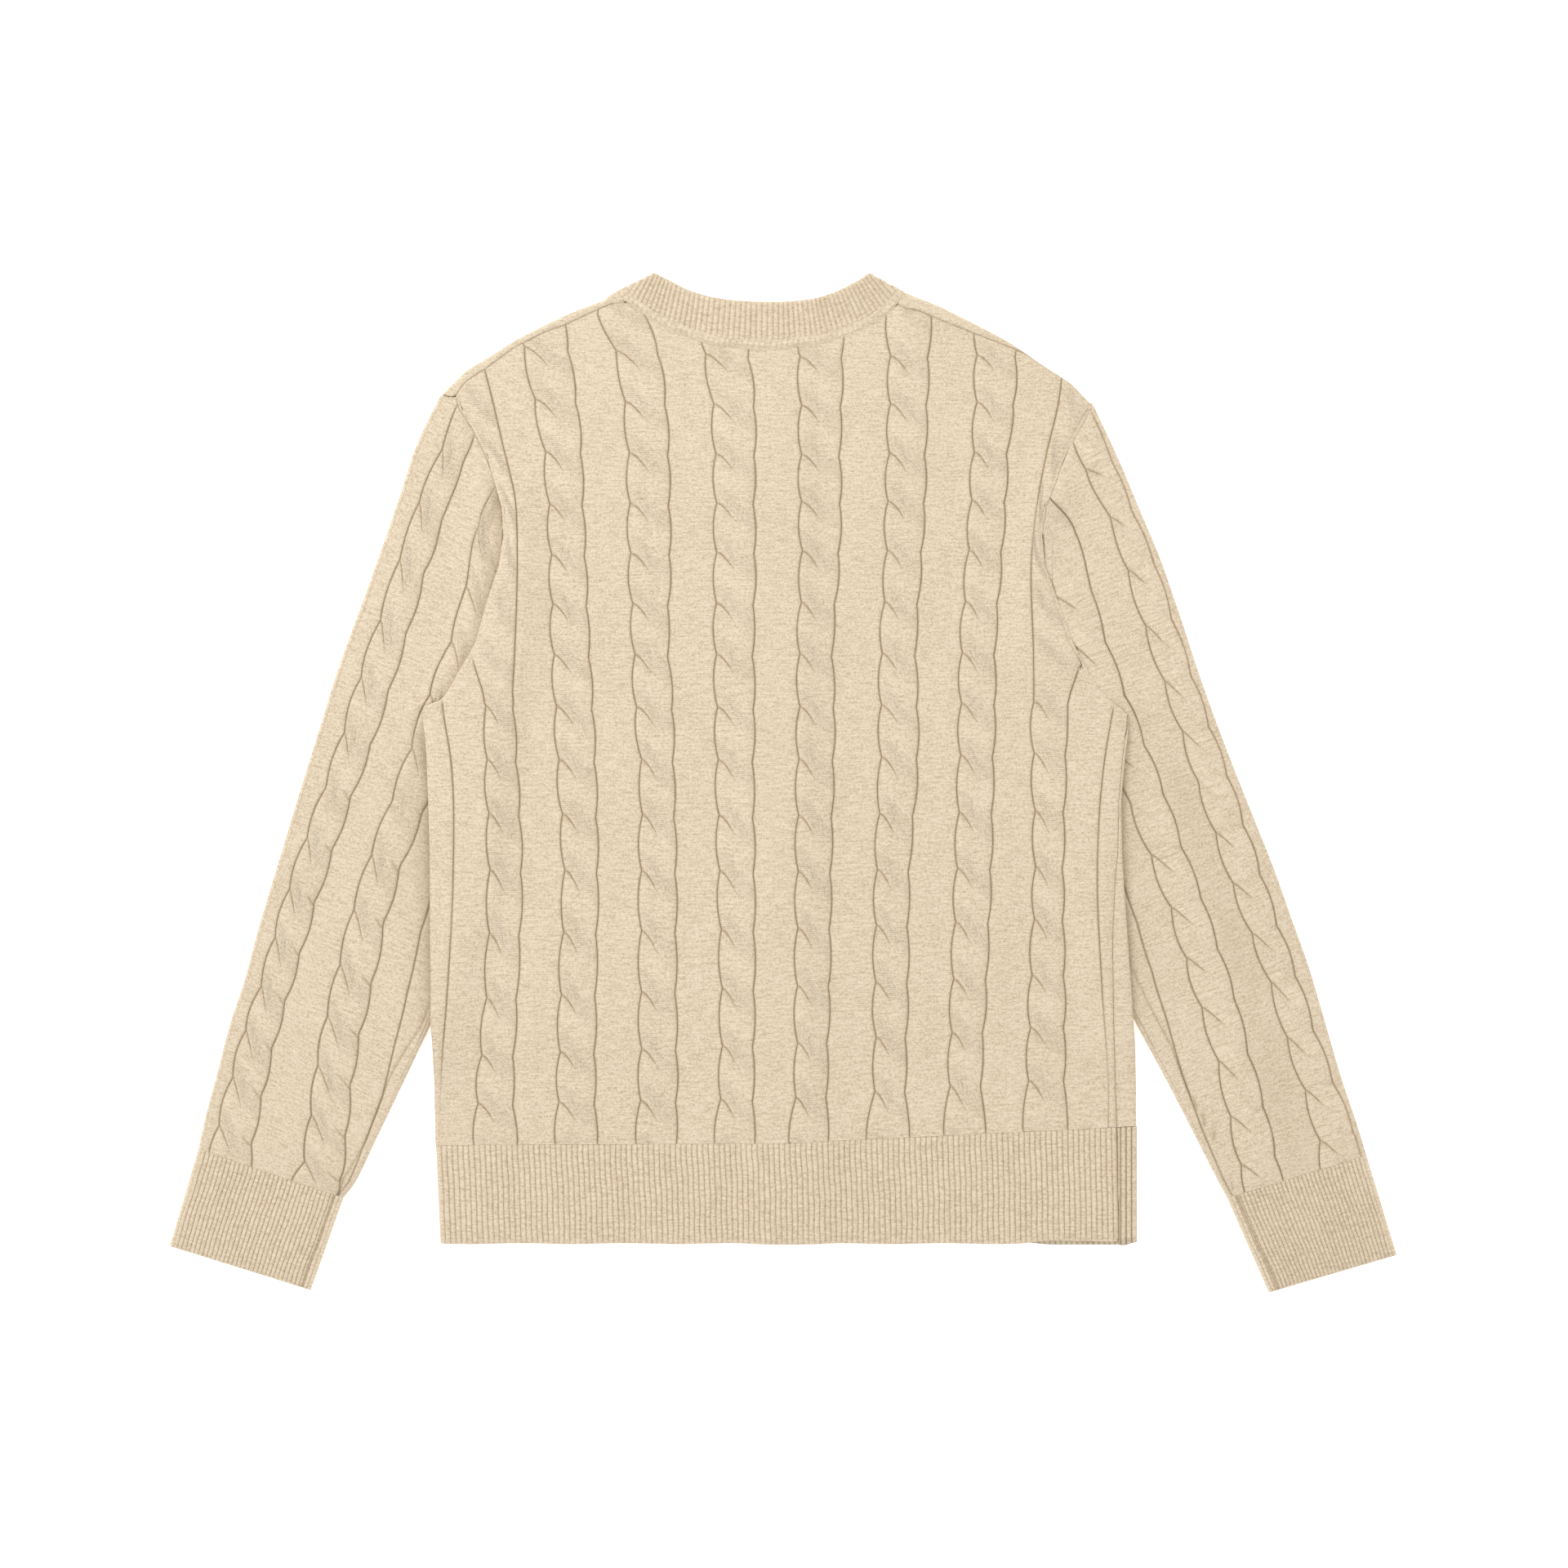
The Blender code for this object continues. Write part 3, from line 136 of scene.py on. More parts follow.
# Outline of the body: y, x of the left edge and of the right edge (armholes, then sides).
EDGES = np.array((
    (485, 558, 1339), (500, 561.5, 1336), (518, 573.5, 1327), (529, 580, 1320.5), (545, 588, 1311),
    (564, 597, 1302), (593, 606, 1292), (621, 615, 1280.5), (657, 617, 1275.5), (693, 611, 1279),
    (736, 597, 1295), (786, 583, 1313), (803, 574, 1321.5), (821, 563, 1332), (841, 552, 1345.5),
    (857, 541, 1359), (865, 520, 1369), (878, 518, 1383), (900, 521, 1381), (925, 523, 1378),
    (980, 525, 1373), (1043, 527, 1374), (1080, 527, 1376), (1205, 528, 1385), (1254, 528, 1388),
    (1281, 530, 1390), (1308, 531, 1391), (1332, 532, 1392), (1356, 532, 1392), (1400, 533, 1393),
    (1460, 537, 1393), (1524, 539, 1393),
))
# Side seam that the front brings round onto the back at the right: y, x.
SIDE_SEAM = np.array((
    (878, 1379), (900, 1377), (925, 1374), (980, 1369), (1043, 1368), (1080, 1364.5),
    (1151, 1361.5), (1254, 1363), (1380, 1368), (1524, 1371),
))
# Shoulder seams on the back: x, y.
LEFT_SHOULDER = (
    (558, 483.6), (569, 468), (595, 451), (630, 425), (668, 406), (691, 398), (734, 378),
    (752, 370.8), (760, 371), (766, 368.8),
)
RIGHT_SHOULDER = (
    (1098, 371.8), (1103, 374), (1113, 378.5), (1126, 381), (1155, 393), (1185, 405), (1239, 426),
    (1257, 434), (1288, 454), (1311, 469), (1338, 497),
)
# Folded shoulders of the fronts, on the outline: x, y.
LEFT_FOLD = (
    (541, 482.7), (554, 469), (572, 452), (599, 436), (630, 416), (661, 400), (699, 382),
    (739, 367), (752, 357),
)
RIGHT_FOLD = (
    (1110, 358), (1150, 374), (1196, 397), (1234, 417), (1257, 432), (1288, 454), (1311, 469),
    (1339, 498),
)
# Hidden fold of each sleeve under the body's side: y, x of the left fold and of the right fold.
TUCK = np.array((
    (657, 619, 1273), (740, 628, 1265), (806, 621, 1273), (865, 604, 1295), (933, 592, 1310),
    (1000, 585, 1321), (1079, 576, 1333), (1151, 560, 1350), (1234, 539, 1374), (1330, 533, 1392),
))
# Sleeves: crossing number, outer edge x y, inner edge x y, then the fractions across of the
# grooves: outer cable left and right, inner cable left and right, last groove.
LEFT_SLEEVE = np.array((
    (-1.2, 551, 459, 631, 491, 0.27, 0.54, 0.85, 0.90, 0.96),
    (-0.8, 538, 485, 634, 525, 0.25, 0.50, 0.85, 0.90, 0.96),
    (0.0, 512, 538, 640, 592, 0.23, 0.44, 0.80, 0.88, 0.95),
    (1.0, 489, 606, 617, 657, 0.19, 0.43, 0.76, 0.86, 0.95),
    (2.0, 465, 676, 628, 741, 0.150, 0.335, 0.65, 0.90, 0.96),
    (3.0, 438, 751, 619, 806, 0.155, 0.335, 0.635, 0.89, 0.955),
    (4.0, 412, 822, 602, 870, 0.160, 0.345, 0.605, 0.83, 0.94),
    (5.0, 391, 890, 590, 937, 0.155, 0.325, 0.57, 0.78, 0.92),
    (6.0, 370, 957, 583, 1004, 0.140, 0.285, 0.52, 0.70, 0.89),
    (7.0, 351, 1019.5, 570.5, 1079, 0.115, 0.26, 0.475, 0.635, 0.85),
    (8.0, 332, 1082, 558, 1154, 0.10, 0.24, 0.45, 0.61, 0.81),
    (9.0, 315, 1139, 536, 1232, 0.10, 0.24, 0.46, 0.635, 0.83),
    (10.0, 299, 1199, 509, 1293, 0.10, 0.24, 0.487, 0.67, 0.875),
    (11.0, 281, 1253, 482, 1350, 0.10, 0.262, 0.54, 0.735, 0.93),
    (12.0, 266, 1311, 457, 1402, 0.10, 0.285, 0.605, 0.82, 0.95),
    (13.0, 250, 1371, 434, 1449, 0.10, 0.315, 0.67, 0.905, 0.965),
    (13.6, 242, 1407, 420, 1467, 0.10, 0.35, 0.67, 0.95, 0.98),
))
RIGHT_SLEEVE = np.array((
    (-1.2, 1327, 469, 1266, 494, 0.11, 0.44, 0.85, 0.90, 0.96),
    (-0.8, 1341, 499, 1262, 530, 0.09, 0.42, 0.85, 0.90, 0.96),
    (0.0, 1369, 559, 1254, 605, 0.07, 0.34, 0.82, 0.88, 0.95),
    (1.0, 1395, 621, 1276, 662, 0.08, 0.295, 0.67, 0.90, 0.96),
    (2.0, 1421, 683, 1268, 742, 0.06, 0.255, 0.565, 0.84, 0.94),
    (3.0, 1445, 752, 1275, 808, 0.065, 0.245, 0.545, 0.75, 0.93),
    (4.0, 1468, 822, 1297, 872, 0.06, 0.24, 0.54, 0.75, 0.93),
    (5.0, 1490, 884, 1312, 936, 0.06, 0.23, 0.505, 0.72, 0.91),
    (6.0, 1513, 944, 1323, 1001, 0.06, 0.235, 0.47, 0.675, 0.88),
    (7.0, 1536.5, 1003, 1336.5, 1073, 0.075, 0.235, 0.455, 0.63, 0.84),
    (8.0, 1560, 1062, 1350, 1145, 0.085, 0.235, 0.43, 0.595, 0.80),
    (9.0, 1582, 1124, 1368, 1206, 0.09, 0.225, 0.43, 0.60, 0.80),
    (10.0, 1604, 1186, 1396, 1262, 0.09, 0.225, 0.45, 0.632, 0.84),
    (11.0, 1624, 1254, 1428, 1322, 0.085, 0.24, 0.495, 0.668, 0.90),
    (12.0, 1643, 1319, 1460, 1384, 0.065, 0.24, 0.53, 0.74, 0.94),
    (13.0, 1664, 1382, 1487, 1437, 0.045, 0.265, 0.585, 0.81, 0.96),
    (13.6, 1674, 1415, 1503, 1467, 0.025, 0.31, 0.62, 0.85, 0.975),
))
# Cuffs: top outer, top inner, bottom outer, bottom inner corner.
LEFT_CUFF = ((242, 1407), (420, 1467), (207, 1526), (380, 1580))
RIGHT_CUFF = ((1674, 1415), (1503, 1467), (1711, 1537), (1554, 1583))
# Neckband: x, y on its seam and on its opening along the back, laid out flat past both folds.
NECK_BACK = (
    (743, 349, 777, 311), (752, 357, 785, 318), (765, 368, 793, 325), (786, 383, 806, 336),
    (808, 397, 822, 344), (832, 408, 842, 354), (856, 417, 863, 361), (884, 423, 889, 366),
    (907, 426, 910, 368), (930, 428, 931, 369), (953, 427, 953, 369), (976, 424, 972, 368),
    (999, 422, 991, 366), (1022, 416, 1008, 362), (1044, 408, 1025, 356), (1066, 398, 1041, 348),
    (1088, 383, 1057, 339), (1110, 358, 1074, 322), (1119, 349, 1083, 312),
)
# Lines on which the neckband folds over to the fronts: x, y on its seam and on its opening.
NECK_FOLDS = ((752, 357, 799, 334), (1110, 358, 1067, 334.5))
# Neckband of the left front from its fold down to the button band; the right one mirrors it.
NECK_FRONT = (
    (752, 357, 800, 334), (753, 395, 801, 372), (758, 430, 806, 402), (770, 462, 815, 432),
    (792, 496, 832, 461), (825, 525, 852, 482), (862, 541, 878, 495), (910.2, 550, 908.6, 500),
)
# Underarm seams where they show on the sleeves: x, y.
LEFT_UNDERARM = (
    (540, 1205), (525, 1235), (516, 1256), (494, 1289), (476, 1321), (462, 1360), (448, 1396),
    (437, 1417), (420, 1444), (411, 1475),
)
RIGHT_UNDERARM = (
    (1372, 1150), (1383, 1180), (1408, 1232), (1436, 1284), (1454, 1334), (1472, 1368),
    (1490, 1397), (1505, 1432), (1513, 1468),
)
# Soft creases: middle x y, direction and length dx dy, half width, height in metres.
CREASES = (
    (640, 640, 60, 150, 12, 0.0004),
    (668, 720, 30, 180, 11, -0.0003),
    (600, 930, 70, 130, 12, 0.00035),
    (575, 1120, 14, 210, 11, -0.0003),
    (760, 560, 10, 190, 16, -0.00025),
    (850, 1240, -20, 230, 17, 0.00025),
    (1050, 1120, 18, 260, 17, -0.00025),
    (1240, 690, -60, 140, 12, 0.00035),
    (1225, 810, -30, 170, 12, -0.0003),
    (1320, 1000, -26, 160, 11, 0.0003),
    (1150, 1320, 160, 18, 13, -0.00025),
    (700, 1330, 150, -16, 13, 0.00025),
    (960, 470, 190, 8, 14, -0.0002),
)
# Seam between the left front's shoulder and the sleeve head: x, y.
LEFT_HEAD = np.array(((541, 483), (552, 486.5), (558, 483.6)))


class Side(Enum):
    """Which half of the lying garment a piece belongs to, as the photograph shows it."""

    LEFT = "left"
    RIGHT = "right"


class Band(Enum):
    """What lies between two neighbouring grooves of a cable panel."""

    EDGE = "edge"
    PLAIN = "plain"
    CABLE = "cable"


def ease(value: np.ndarray) -> np.ndarray:
    """Smooth step from 0 to 1."""
    held = np.clip(value, 0.0, 1.0)
    return held * held * (3.0 - 2.0 * held)


def bell(value: np.ndarray) -> np.ndarray:
    """Round bump, 1 at 0."""
    return np.exp(-np.square(value))


def smooth_curve(xs: tuple, ys: tuple, at: np.ndarray) -> np.ndarray:
    """Cubic through points, level beyond its ends.

    Args:
        xs: Rising positions of the points.
        ys: Their values.
        at: Where the curve is asked.

    Returns:
        The curve's values there.
    """
    xs = np.asarray(xs, dtype=float)
    ys = np.asarray(ys, dtype=float)
    slope = np.gradient(ys, xs)
    held = np.clip(at, xs[0], xs[-1])
    cell = np.clip(np.searchsorted(xs, held, side="right") - 1, 0, len(xs) - 2)
    width = xs[cell + 1] - xs[cell]
    t = (held - xs[cell]) / width
    start = (1 + 2 * t) * (1 - t) ** 2 * ys[cell] + t * (1 - t) ** 2 * width * slope[cell]
    end = t * t * (3 - 2 * t) * ys[cell + 1] - t * t * (1 - t) * width * slope[cell + 1]
    return start + end


def column(table: np.ndarray, index: int, at: np.ndarray) -> np.ndarray:
    """Straight interpolation of a table's column; its first column is the position."""
    return np.interp(at, table[:, 0], table[:, index])


def line_distance(px: np.ndarray, py: np.ndarray, line: tuple) -> np.ndarray:
    """Distance from plan points to a line of points, in grid steps.

    Args:
        px: X of the points, in grid steps.
        py: Y of the points.
        line: The corners of the line, x and y.

    Returns:
        Each point's distance, 99 at most.
    """
    away = np.full(np.shape(px), 99.0)
    for (x0, y0), (x1, y1) in zip(line, line[1:]):
        length = (x1 - x0) ** 2 + (y1 - y0) ** 2
        share = np.clip(((px - x0) * (x1 - x0) + (py - y0) * (y1 - y0)) / length, 0.0, 1.0)
        away = np.minimum(away, np.hypot(px - x0 - share * (x1 - x0), py - y0 - share * (y1 - y0)))
    return away


def sag(px: np.ndarray, py: np.ndarray) -> np.ndarray:
    """Soft creases of the lying body, in metres.

    Args:
        px: X of the points, in grid steps.
        py: Y of the points.

    Returns:
        Heights to add there.
    """
    height = np.zeros(np.broadcast(px, py).shape)
    for x, y, dx, dy, wide, deep in CREASES:
        length = math.hypot(dx, dy)
        along = ((px - x) * dx + (py - y) * dy) / length
        across = ((px - x) * dy - (py - y) * dx) / length
        bow = across - 0.06 * along * along / length
        height = height + deep * bell(bow / wide) * bell(along / (0.5 * length))
    return height


def wander(phase: np.ndarray, py: np.ndarray) -> np.ndarray:
    """Sideways drift of ribs that aren't pulled quite straight, in grid steps."""
    return (0.55 * np.sin(py / 19.0 + 0.9 * np.sin(phase / 7.3))
            + 0.35 * np.sin(py / 7.7 + phase * 0.61))


def along(table: tuple, count: int) -> np.ndarray:
    """Even steps along a table's first two columns.

    Args:
        table: Rows of numbers, x and y first.
        count: How many rows are wanted.

    Returns:
        The rows, smoothly interpolated.
    """
    rows = np.array(table, dtype=float)
    reach = np.concatenate(((0.0,), np.cumsum(np.hypot(*np.diff(rows[:, :2], axis=0).T))))
    at = np.linspace(0.0, reach[-1], count)
    return np.stack([smooth_curve(reach, rows[:, k], at) for k in range(rows.shape[1])], axis=1)


def back_top() -> np.ndarray:
    """Line of the back's upper edge: shoulder seams and, between them, the neckband's seam."""
    neck = NECK_SEAM[(NECK_SEAM[:, 0] > 767.0) & (NECK_SEAM[:, 0] < 1097.0)]
    return np.concatenate((np.array(LEFT_SHOULDER), neck, np.array(RIGHT_SHOULDER)))


NECK_SEAM = along(NECK_BACK, 400)[:, :2]
BACK_TOP = back_top()


def to_metres(px: np.ndarray, py: np.ndarray, z: np.ndarray) -> np.ndarray:
    """Points of the row frame from plan steps and a height in metres.

    Args:
        px: X in grid steps.
        py: Y in grid steps, down the garment.
        z: Height in metres.

    Returns:
        An array with x, y and z in its last axis.
    """
    px, py, z = np.broadcast_arrays(px, py, z)
    return np.stack(((px - CENTRE[0]) * GRID, (CENTRE[1] - py) * GRID, z), axis=-1)


def graded(width: float, steps: tuple) -> list:
    """Shares across a band, close together beside its two grooves.

    Args:
        width: The band's usual width in grid steps.
        steps: Distances from a groove, from 0 up to less than half the width.

    Returns:
        Shares from 0 up to just under 1.
    """
    near = [step / width for step in steps]
    return near + [0.5] + [1.0 - share for share in near[:0:-1]]


def padded_count(values: list, step: int) -> list:
    """Drops values from the middle so that the cells between them divide by a step.

    Args:
        values: Rising values, first and last kept.
        step: What the number of cells must divide by.

    Returns:
        The values that are kept.
    """
    extra = (len(values) - 1) % step
    middle = len(values) // 2
    return values[:middle] + values[middle + extra:]


def beside(lines: np.ndarray, bands: np.ndarray) -> tuple:
    """Positions of the two lines beside each point.

    Args:
        lines: Positions of all lines, in the last axis.
        bands: Number of each column's band, between line n and line n + 1.

    Returns:
        The line before each point and the line after it.
    """
    pick = np.broadcast_to(bands[None, :, None], lines.shape[:-1] + (1,))
    return (np.take_along_axis(lines, pick, axis=-1)[..., 0],
            np.take_along_axis(lines, pick + 1, axis=-1)[..., 0])


def sewn_down(height: np.ndarray, away: np.ndarray) -> np.ndarray:
    """Relief pressed flat beside a seam.

    Args:
        height: Heights above the plain knit.
        away: Distance from the seam, in grid steps.

    Returns:
        The heights, faded to nothing at the seam.
    """
    return height * np.where(height > 0.0, ease(away / 9.0), ease((away + 1.0) / 4.0))


def fold_curl(away: np.ndarray) -> np.ndarray:
    """Height that a round fold takes from a layer.

    Args:
        away: Distance from the fold's outer line, in metres.

    Returns:
        The heights in metres.
    """
    reach = MID_Z - np.clip(away, 0.0, MID_Z)
    return MID_Z - np.sqrt(MID_Z ** 2 - reach ** 2)


@dataclass
class BodyPlan:
    """Where the rows and grooves of the body lie, and how high its layers are."""

    cable_steps: tuple = (0.0, 0.8, 1.8, 3.4, 6.4, 11.0, 17.0)
    plain_steps: tuple = (0.0, 0.8, 2.0, 4.6, 12.0)
    levels: np.ndarray = field(default_factory=lambda: np.arange(330.0, 1530.0, 1.0))

    def course_y(self, crossing: np.ndarray, px: np.ndarray) -> np.ndarray:
        """Y of a row of stitches at an x.

        Args:
            crossing: Crossing number of the row.
            px: X along it.

        Returns:
            Y of the row there.
        """
        left = np.clip((MIDDLE_X - px) / 358.0, 0.0, 1.3)
        right = np.clip((px - MIDDLE_X) / 420.0, 0.0, 1.1)
        return (column(COURSES, 1, crossing) + column(COURSES, 2, crossing) * left
                + column(COURSES, 3, crossing) * right)

    def crossing_at(self, px: np.ndarray, py: np.ndarray) -> np.ndarray:
        """Crossing number of a point of the body.

        Args:
            px: X of the points.
            py: Y of the points.

        Returns:
            Their crossing numbers.
        """
        found = np.interp(py, COURSES[:, 1], COURSES[:, 0])
        for _ in range(5):
            drift = self.course_y(found, px) - column(COURSES, 1, found)
            found = np.interp(py - drift, COURSES[:, 1], COURSES[:, 0])
        return found

    def right_neck(self, count: int) -> np.ndarray:
        """Seam and opening of the right front's neckband, mirrored from the left one.

        Args:
            count: How many rows are wanted.

        Returns:
            Rows of x and y on the seam, then x and y on the opening.
        """
        found = along(NECK_FRONT, count)
        found[:, 0] = 2.0 * self.axis_x(found[:, 1]) - found[:, 0]
        found[:, 2] = 2.0 * self.axis_x(found[:, 3]) - found[:, 2]
        share = np.linspace(0.0, 1.0, count)[:, None]
        return found + (np.array(NECK_FOLDS[1], dtype=float) - found[0]) * (1.0 - share) ** 2

    def axis_x(self, py: np.ndarray) -> np.ndarray:
        """Middle of the body, where the hidden fronts meet; it leans a little."""
        return NECK_AXIS[0] + AXIS_LEAN * (py - NECK_AXIS[1])

    def side_seam(self, py: np.ndarray) -> np.ndarray:
        """X of the back's right edge below the armhole."""
        return column(SIDE_SEAM, 1, py)

    def side_rise(self, px: np.ndarray, py: np.ndarray) -> np.ndarray:
        """Lift of the body over the sleeves lying under its sides.

        Args:
            px: X of the points.
            py: Y of the points.

        Returns:
            The lift in metres.
        """
        head = ease((py - 545.0) / 95.0) * (1.0 - ease((py - 1262.0) / 100.0))
        left = 1.0 - ease((px - column(TUCK, 1, py) - 6.0) / 50.0)
        right = 1.0 - ease((column(TUCK, 2, py) - 6.0 - px) / 50.0)
        return SIDE_RISE * head * np.maximum(left, right)

    def placket_lift(self, px: np.ndarray, py: np.ndarray) -> np.ndarray:
        """Share of the lift over buttons and bands."""
        across = 1.0 - ease((np.abs(px - self.axis_x(py)) - BAND_HALF - 2.0) / 44.0)
        return across * ease((py - 438.0) / 60.0)

    def back_floor(self, px: np.ndarray, py: np.ndarray) -> np.ndarray:
        """Underside of the back's layer.

        Args:
            px: X of the points.
            py: Y of the points.

        Returns:
            Its height in metres.
        """
        edge = np.minimum(px - column(EDGES, 1, py), self.side_seam(np.maximum(py, 880.0)) - px)
        roll = np.where(py > ARMHOLE_Y, 1.0 - ease(edge / 7.0), 0.0)
        lift = PLACKET_RISE * self.placket_lift(px, py)
        return BACK_Z + self.side_rise(px, py) + lift - 0.0005 * roll

    def front_floor(self, px: np.ndarray, py: np.ndarray) -> np.ndarray:
        """Underside of the front's layer; the left front carries the upper band."""
        lift = np.where(px < self.axis_x(py), PLACKET_RISE, LOWER_BAND_Z)
        return self.side_rise(px, py) + lift * self.placket_lift(px, py)

    def skew(self, q: np.ndarray) -> np.ndarray:
        """How far a crossing travels down at q, from -1 to 1 across a cable."""
        return 0.36 * np.clip(q + 1.0, 0.0, 1.05) ** 1.75 + 0.30 * np.clip(q - 0.05, 0.0, 2.0)

    def groove_lines(self, py: np.ndarray, crossing: np.ndarray, left: np.ndarray,
                     right: np.ndarray) -> np.ndarray:
        """X of the two edges and of every groove between them.

        Args:
            py: Y of each point.
            crossing: Crossing number of each point.
            left: X of the panel's left edge there.
            right: X of its right edge there.

        Returns:
            The lines' x in the last axis, from the left edge to the right one.
        """
        phase = crossing % 1.0
        out_left = -BULGE * np.sin(np.pi * phase) ** 0.8
        out_right = WAVE * np.sin(np.pi * ((phase - 0.05) % 1.0)) ** 0.8
        crossed = ease((py - OUTER_CROSSED_Y) / 20.0)
        lines = [left]
        for name, *xs in GROOVES:
            at = np.interp(py, self.levels, smooth_curve(GROOVE_Y, xs, self.levels))
            if name not in ("0R", "9L"):
                free = crossed if name[0] in "18" else 1.0
                at = at + (out_left if name.endswith("L") else out_right) * free
            lines.append(at)
        lines.append(right)
        held = np.stack(lines, axis=-1)
        last = held.shape[-1] - 1
        for k in range(1, last):
            low = np.maximum(left + 2.0 * k, held[..., k - 1] + 1.2)
            held[..., k] = np.maximum(held[..., k], low)
        for k in range(last - 1, 0, -1):
            high = np.minimum(right - 2.0 * (last - k), held[..., k + 1] - 1.2)
            held[..., k] = np.minimum(held[..., k], high)
        return held


@dataclass
class Relief:
    """A knitted wall as grids of numbers: rows down the piece, columns across it."""

    outer: np.ndarray
    inner: np.ndarray
    wale: np.ndarray
    course: np.ndarray
    # painted shade of each point, 0 for none, below 0 where a highlight is painted
    shade: np.ndarray

    def __post_init__(self) -> None:
        """Spreads numbers given for rows or columns alone over the whole grid."""
        shape = self.outer.shape[:-1]
        self.wale, self.course, self.shade = (
            np.broadcast_to(item, shape) for item in (self.wale, self.course, self.shade))


@dataclass
class Cabling:
    """Height and painted shade of a cable panel's knit above its plain face."""

    plan: BodyPlan

    def cable(self, q: np.ndarray, lag: np.ndarray, left: np.ndarray,
              right: np.ndarray, free: np.ndarray, rope: np.ndarray) -> tuple:
        """Relief of a cable.

        Args:
            q: Place across the cable, -1 at the groove where its strands cross.
            lag: Crossing number at each point less the crossing's own lean, whole on its line.
            left: Distance to the crossing groove, in grid steps.
            right: Distance to the other groove.
            free: 1 where the cable is wide enough to show its crossings, 0 where it is squeezed.
            rope: How clearly the upper strand stands out over its whole width, from 0 to 1.

        Returns:
            Heights in metres above the plain knit, and painted shade from 0 to 1, lowered where a
            highlight is painted.
        """
        away = (lag - np.round(lag)) * CROSSING
        reach = (1.0 - ease((q + 0.22) / 0.30)) * free
        behind = np.where(away < 0.0, bell(away / 1.3), np.exp(-np.abs(away) / 8.0))
        notch = reach * behind
        near = np.minimum(left, right)
        crown = CROWN * (0.62 + 0.38 * (1.0 - q * q)) * (1.0 - np.exp(-(near / 2.8) ** 1.2))
        over = (((lag + 1.02) % 1.0) - 0.5) * CROSSING
        step = ease(q / 0.2) * ease((0.95 - q) / 0.15)
        lift = np.where(over > 0.0, np.exp(-np.abs(over) / 7.0), -1.2 * np.exp(-np.abs(over) / 4.0))
        height = crown * (1.0 - 0.75 * notch) + (0.00036 + 0.00022 * rope) * step * lift
        height = height - 0.0005 * reach * bell((away - 0.3) / 1.2) * ease(left / 2.0)
        height = height - GROOVE * bell(near / GROOVE_WIDTH)
        # Painted shade in the notch where a strand dives under, and fainter below it behind the
        # crossing.
        line = reach * ease((left - 0.2) / 2.0) * bell((away - 0.4) / 1.0)
        shade = 0.80 * line + 0.22 * reach * np.where(away > 0.0, np.exp(-np.abs(away) / 5.0), 0.0)
        # Painted shade along the upper strand's edge, a painted highlight just below it, and
        # painted shade in the grooves.
        painted_strand_shade = 0.62 * rope * ease((q - 0.15) / 0.5) * free * bell((over + 0.9) / 1.0)
        painted_highlight = (0.14 + 0.08 * rope) * step * bell((over - 1.6) / 1.6)
        shade = np.maximum(np.maximum(shade, painted_strand_shade), bell(near / GROOVE_SHADE)) - painted_highlight
        return height, shade

    def plain(self, near: np.ndarray) -> tuple:
        """Relief and painted groove shade of plain knit at a distance from its nearest groove."""
        return -GROOVE * bell(near / GROOVE_WIDTH), bell(near / GROOVE_SHADE)


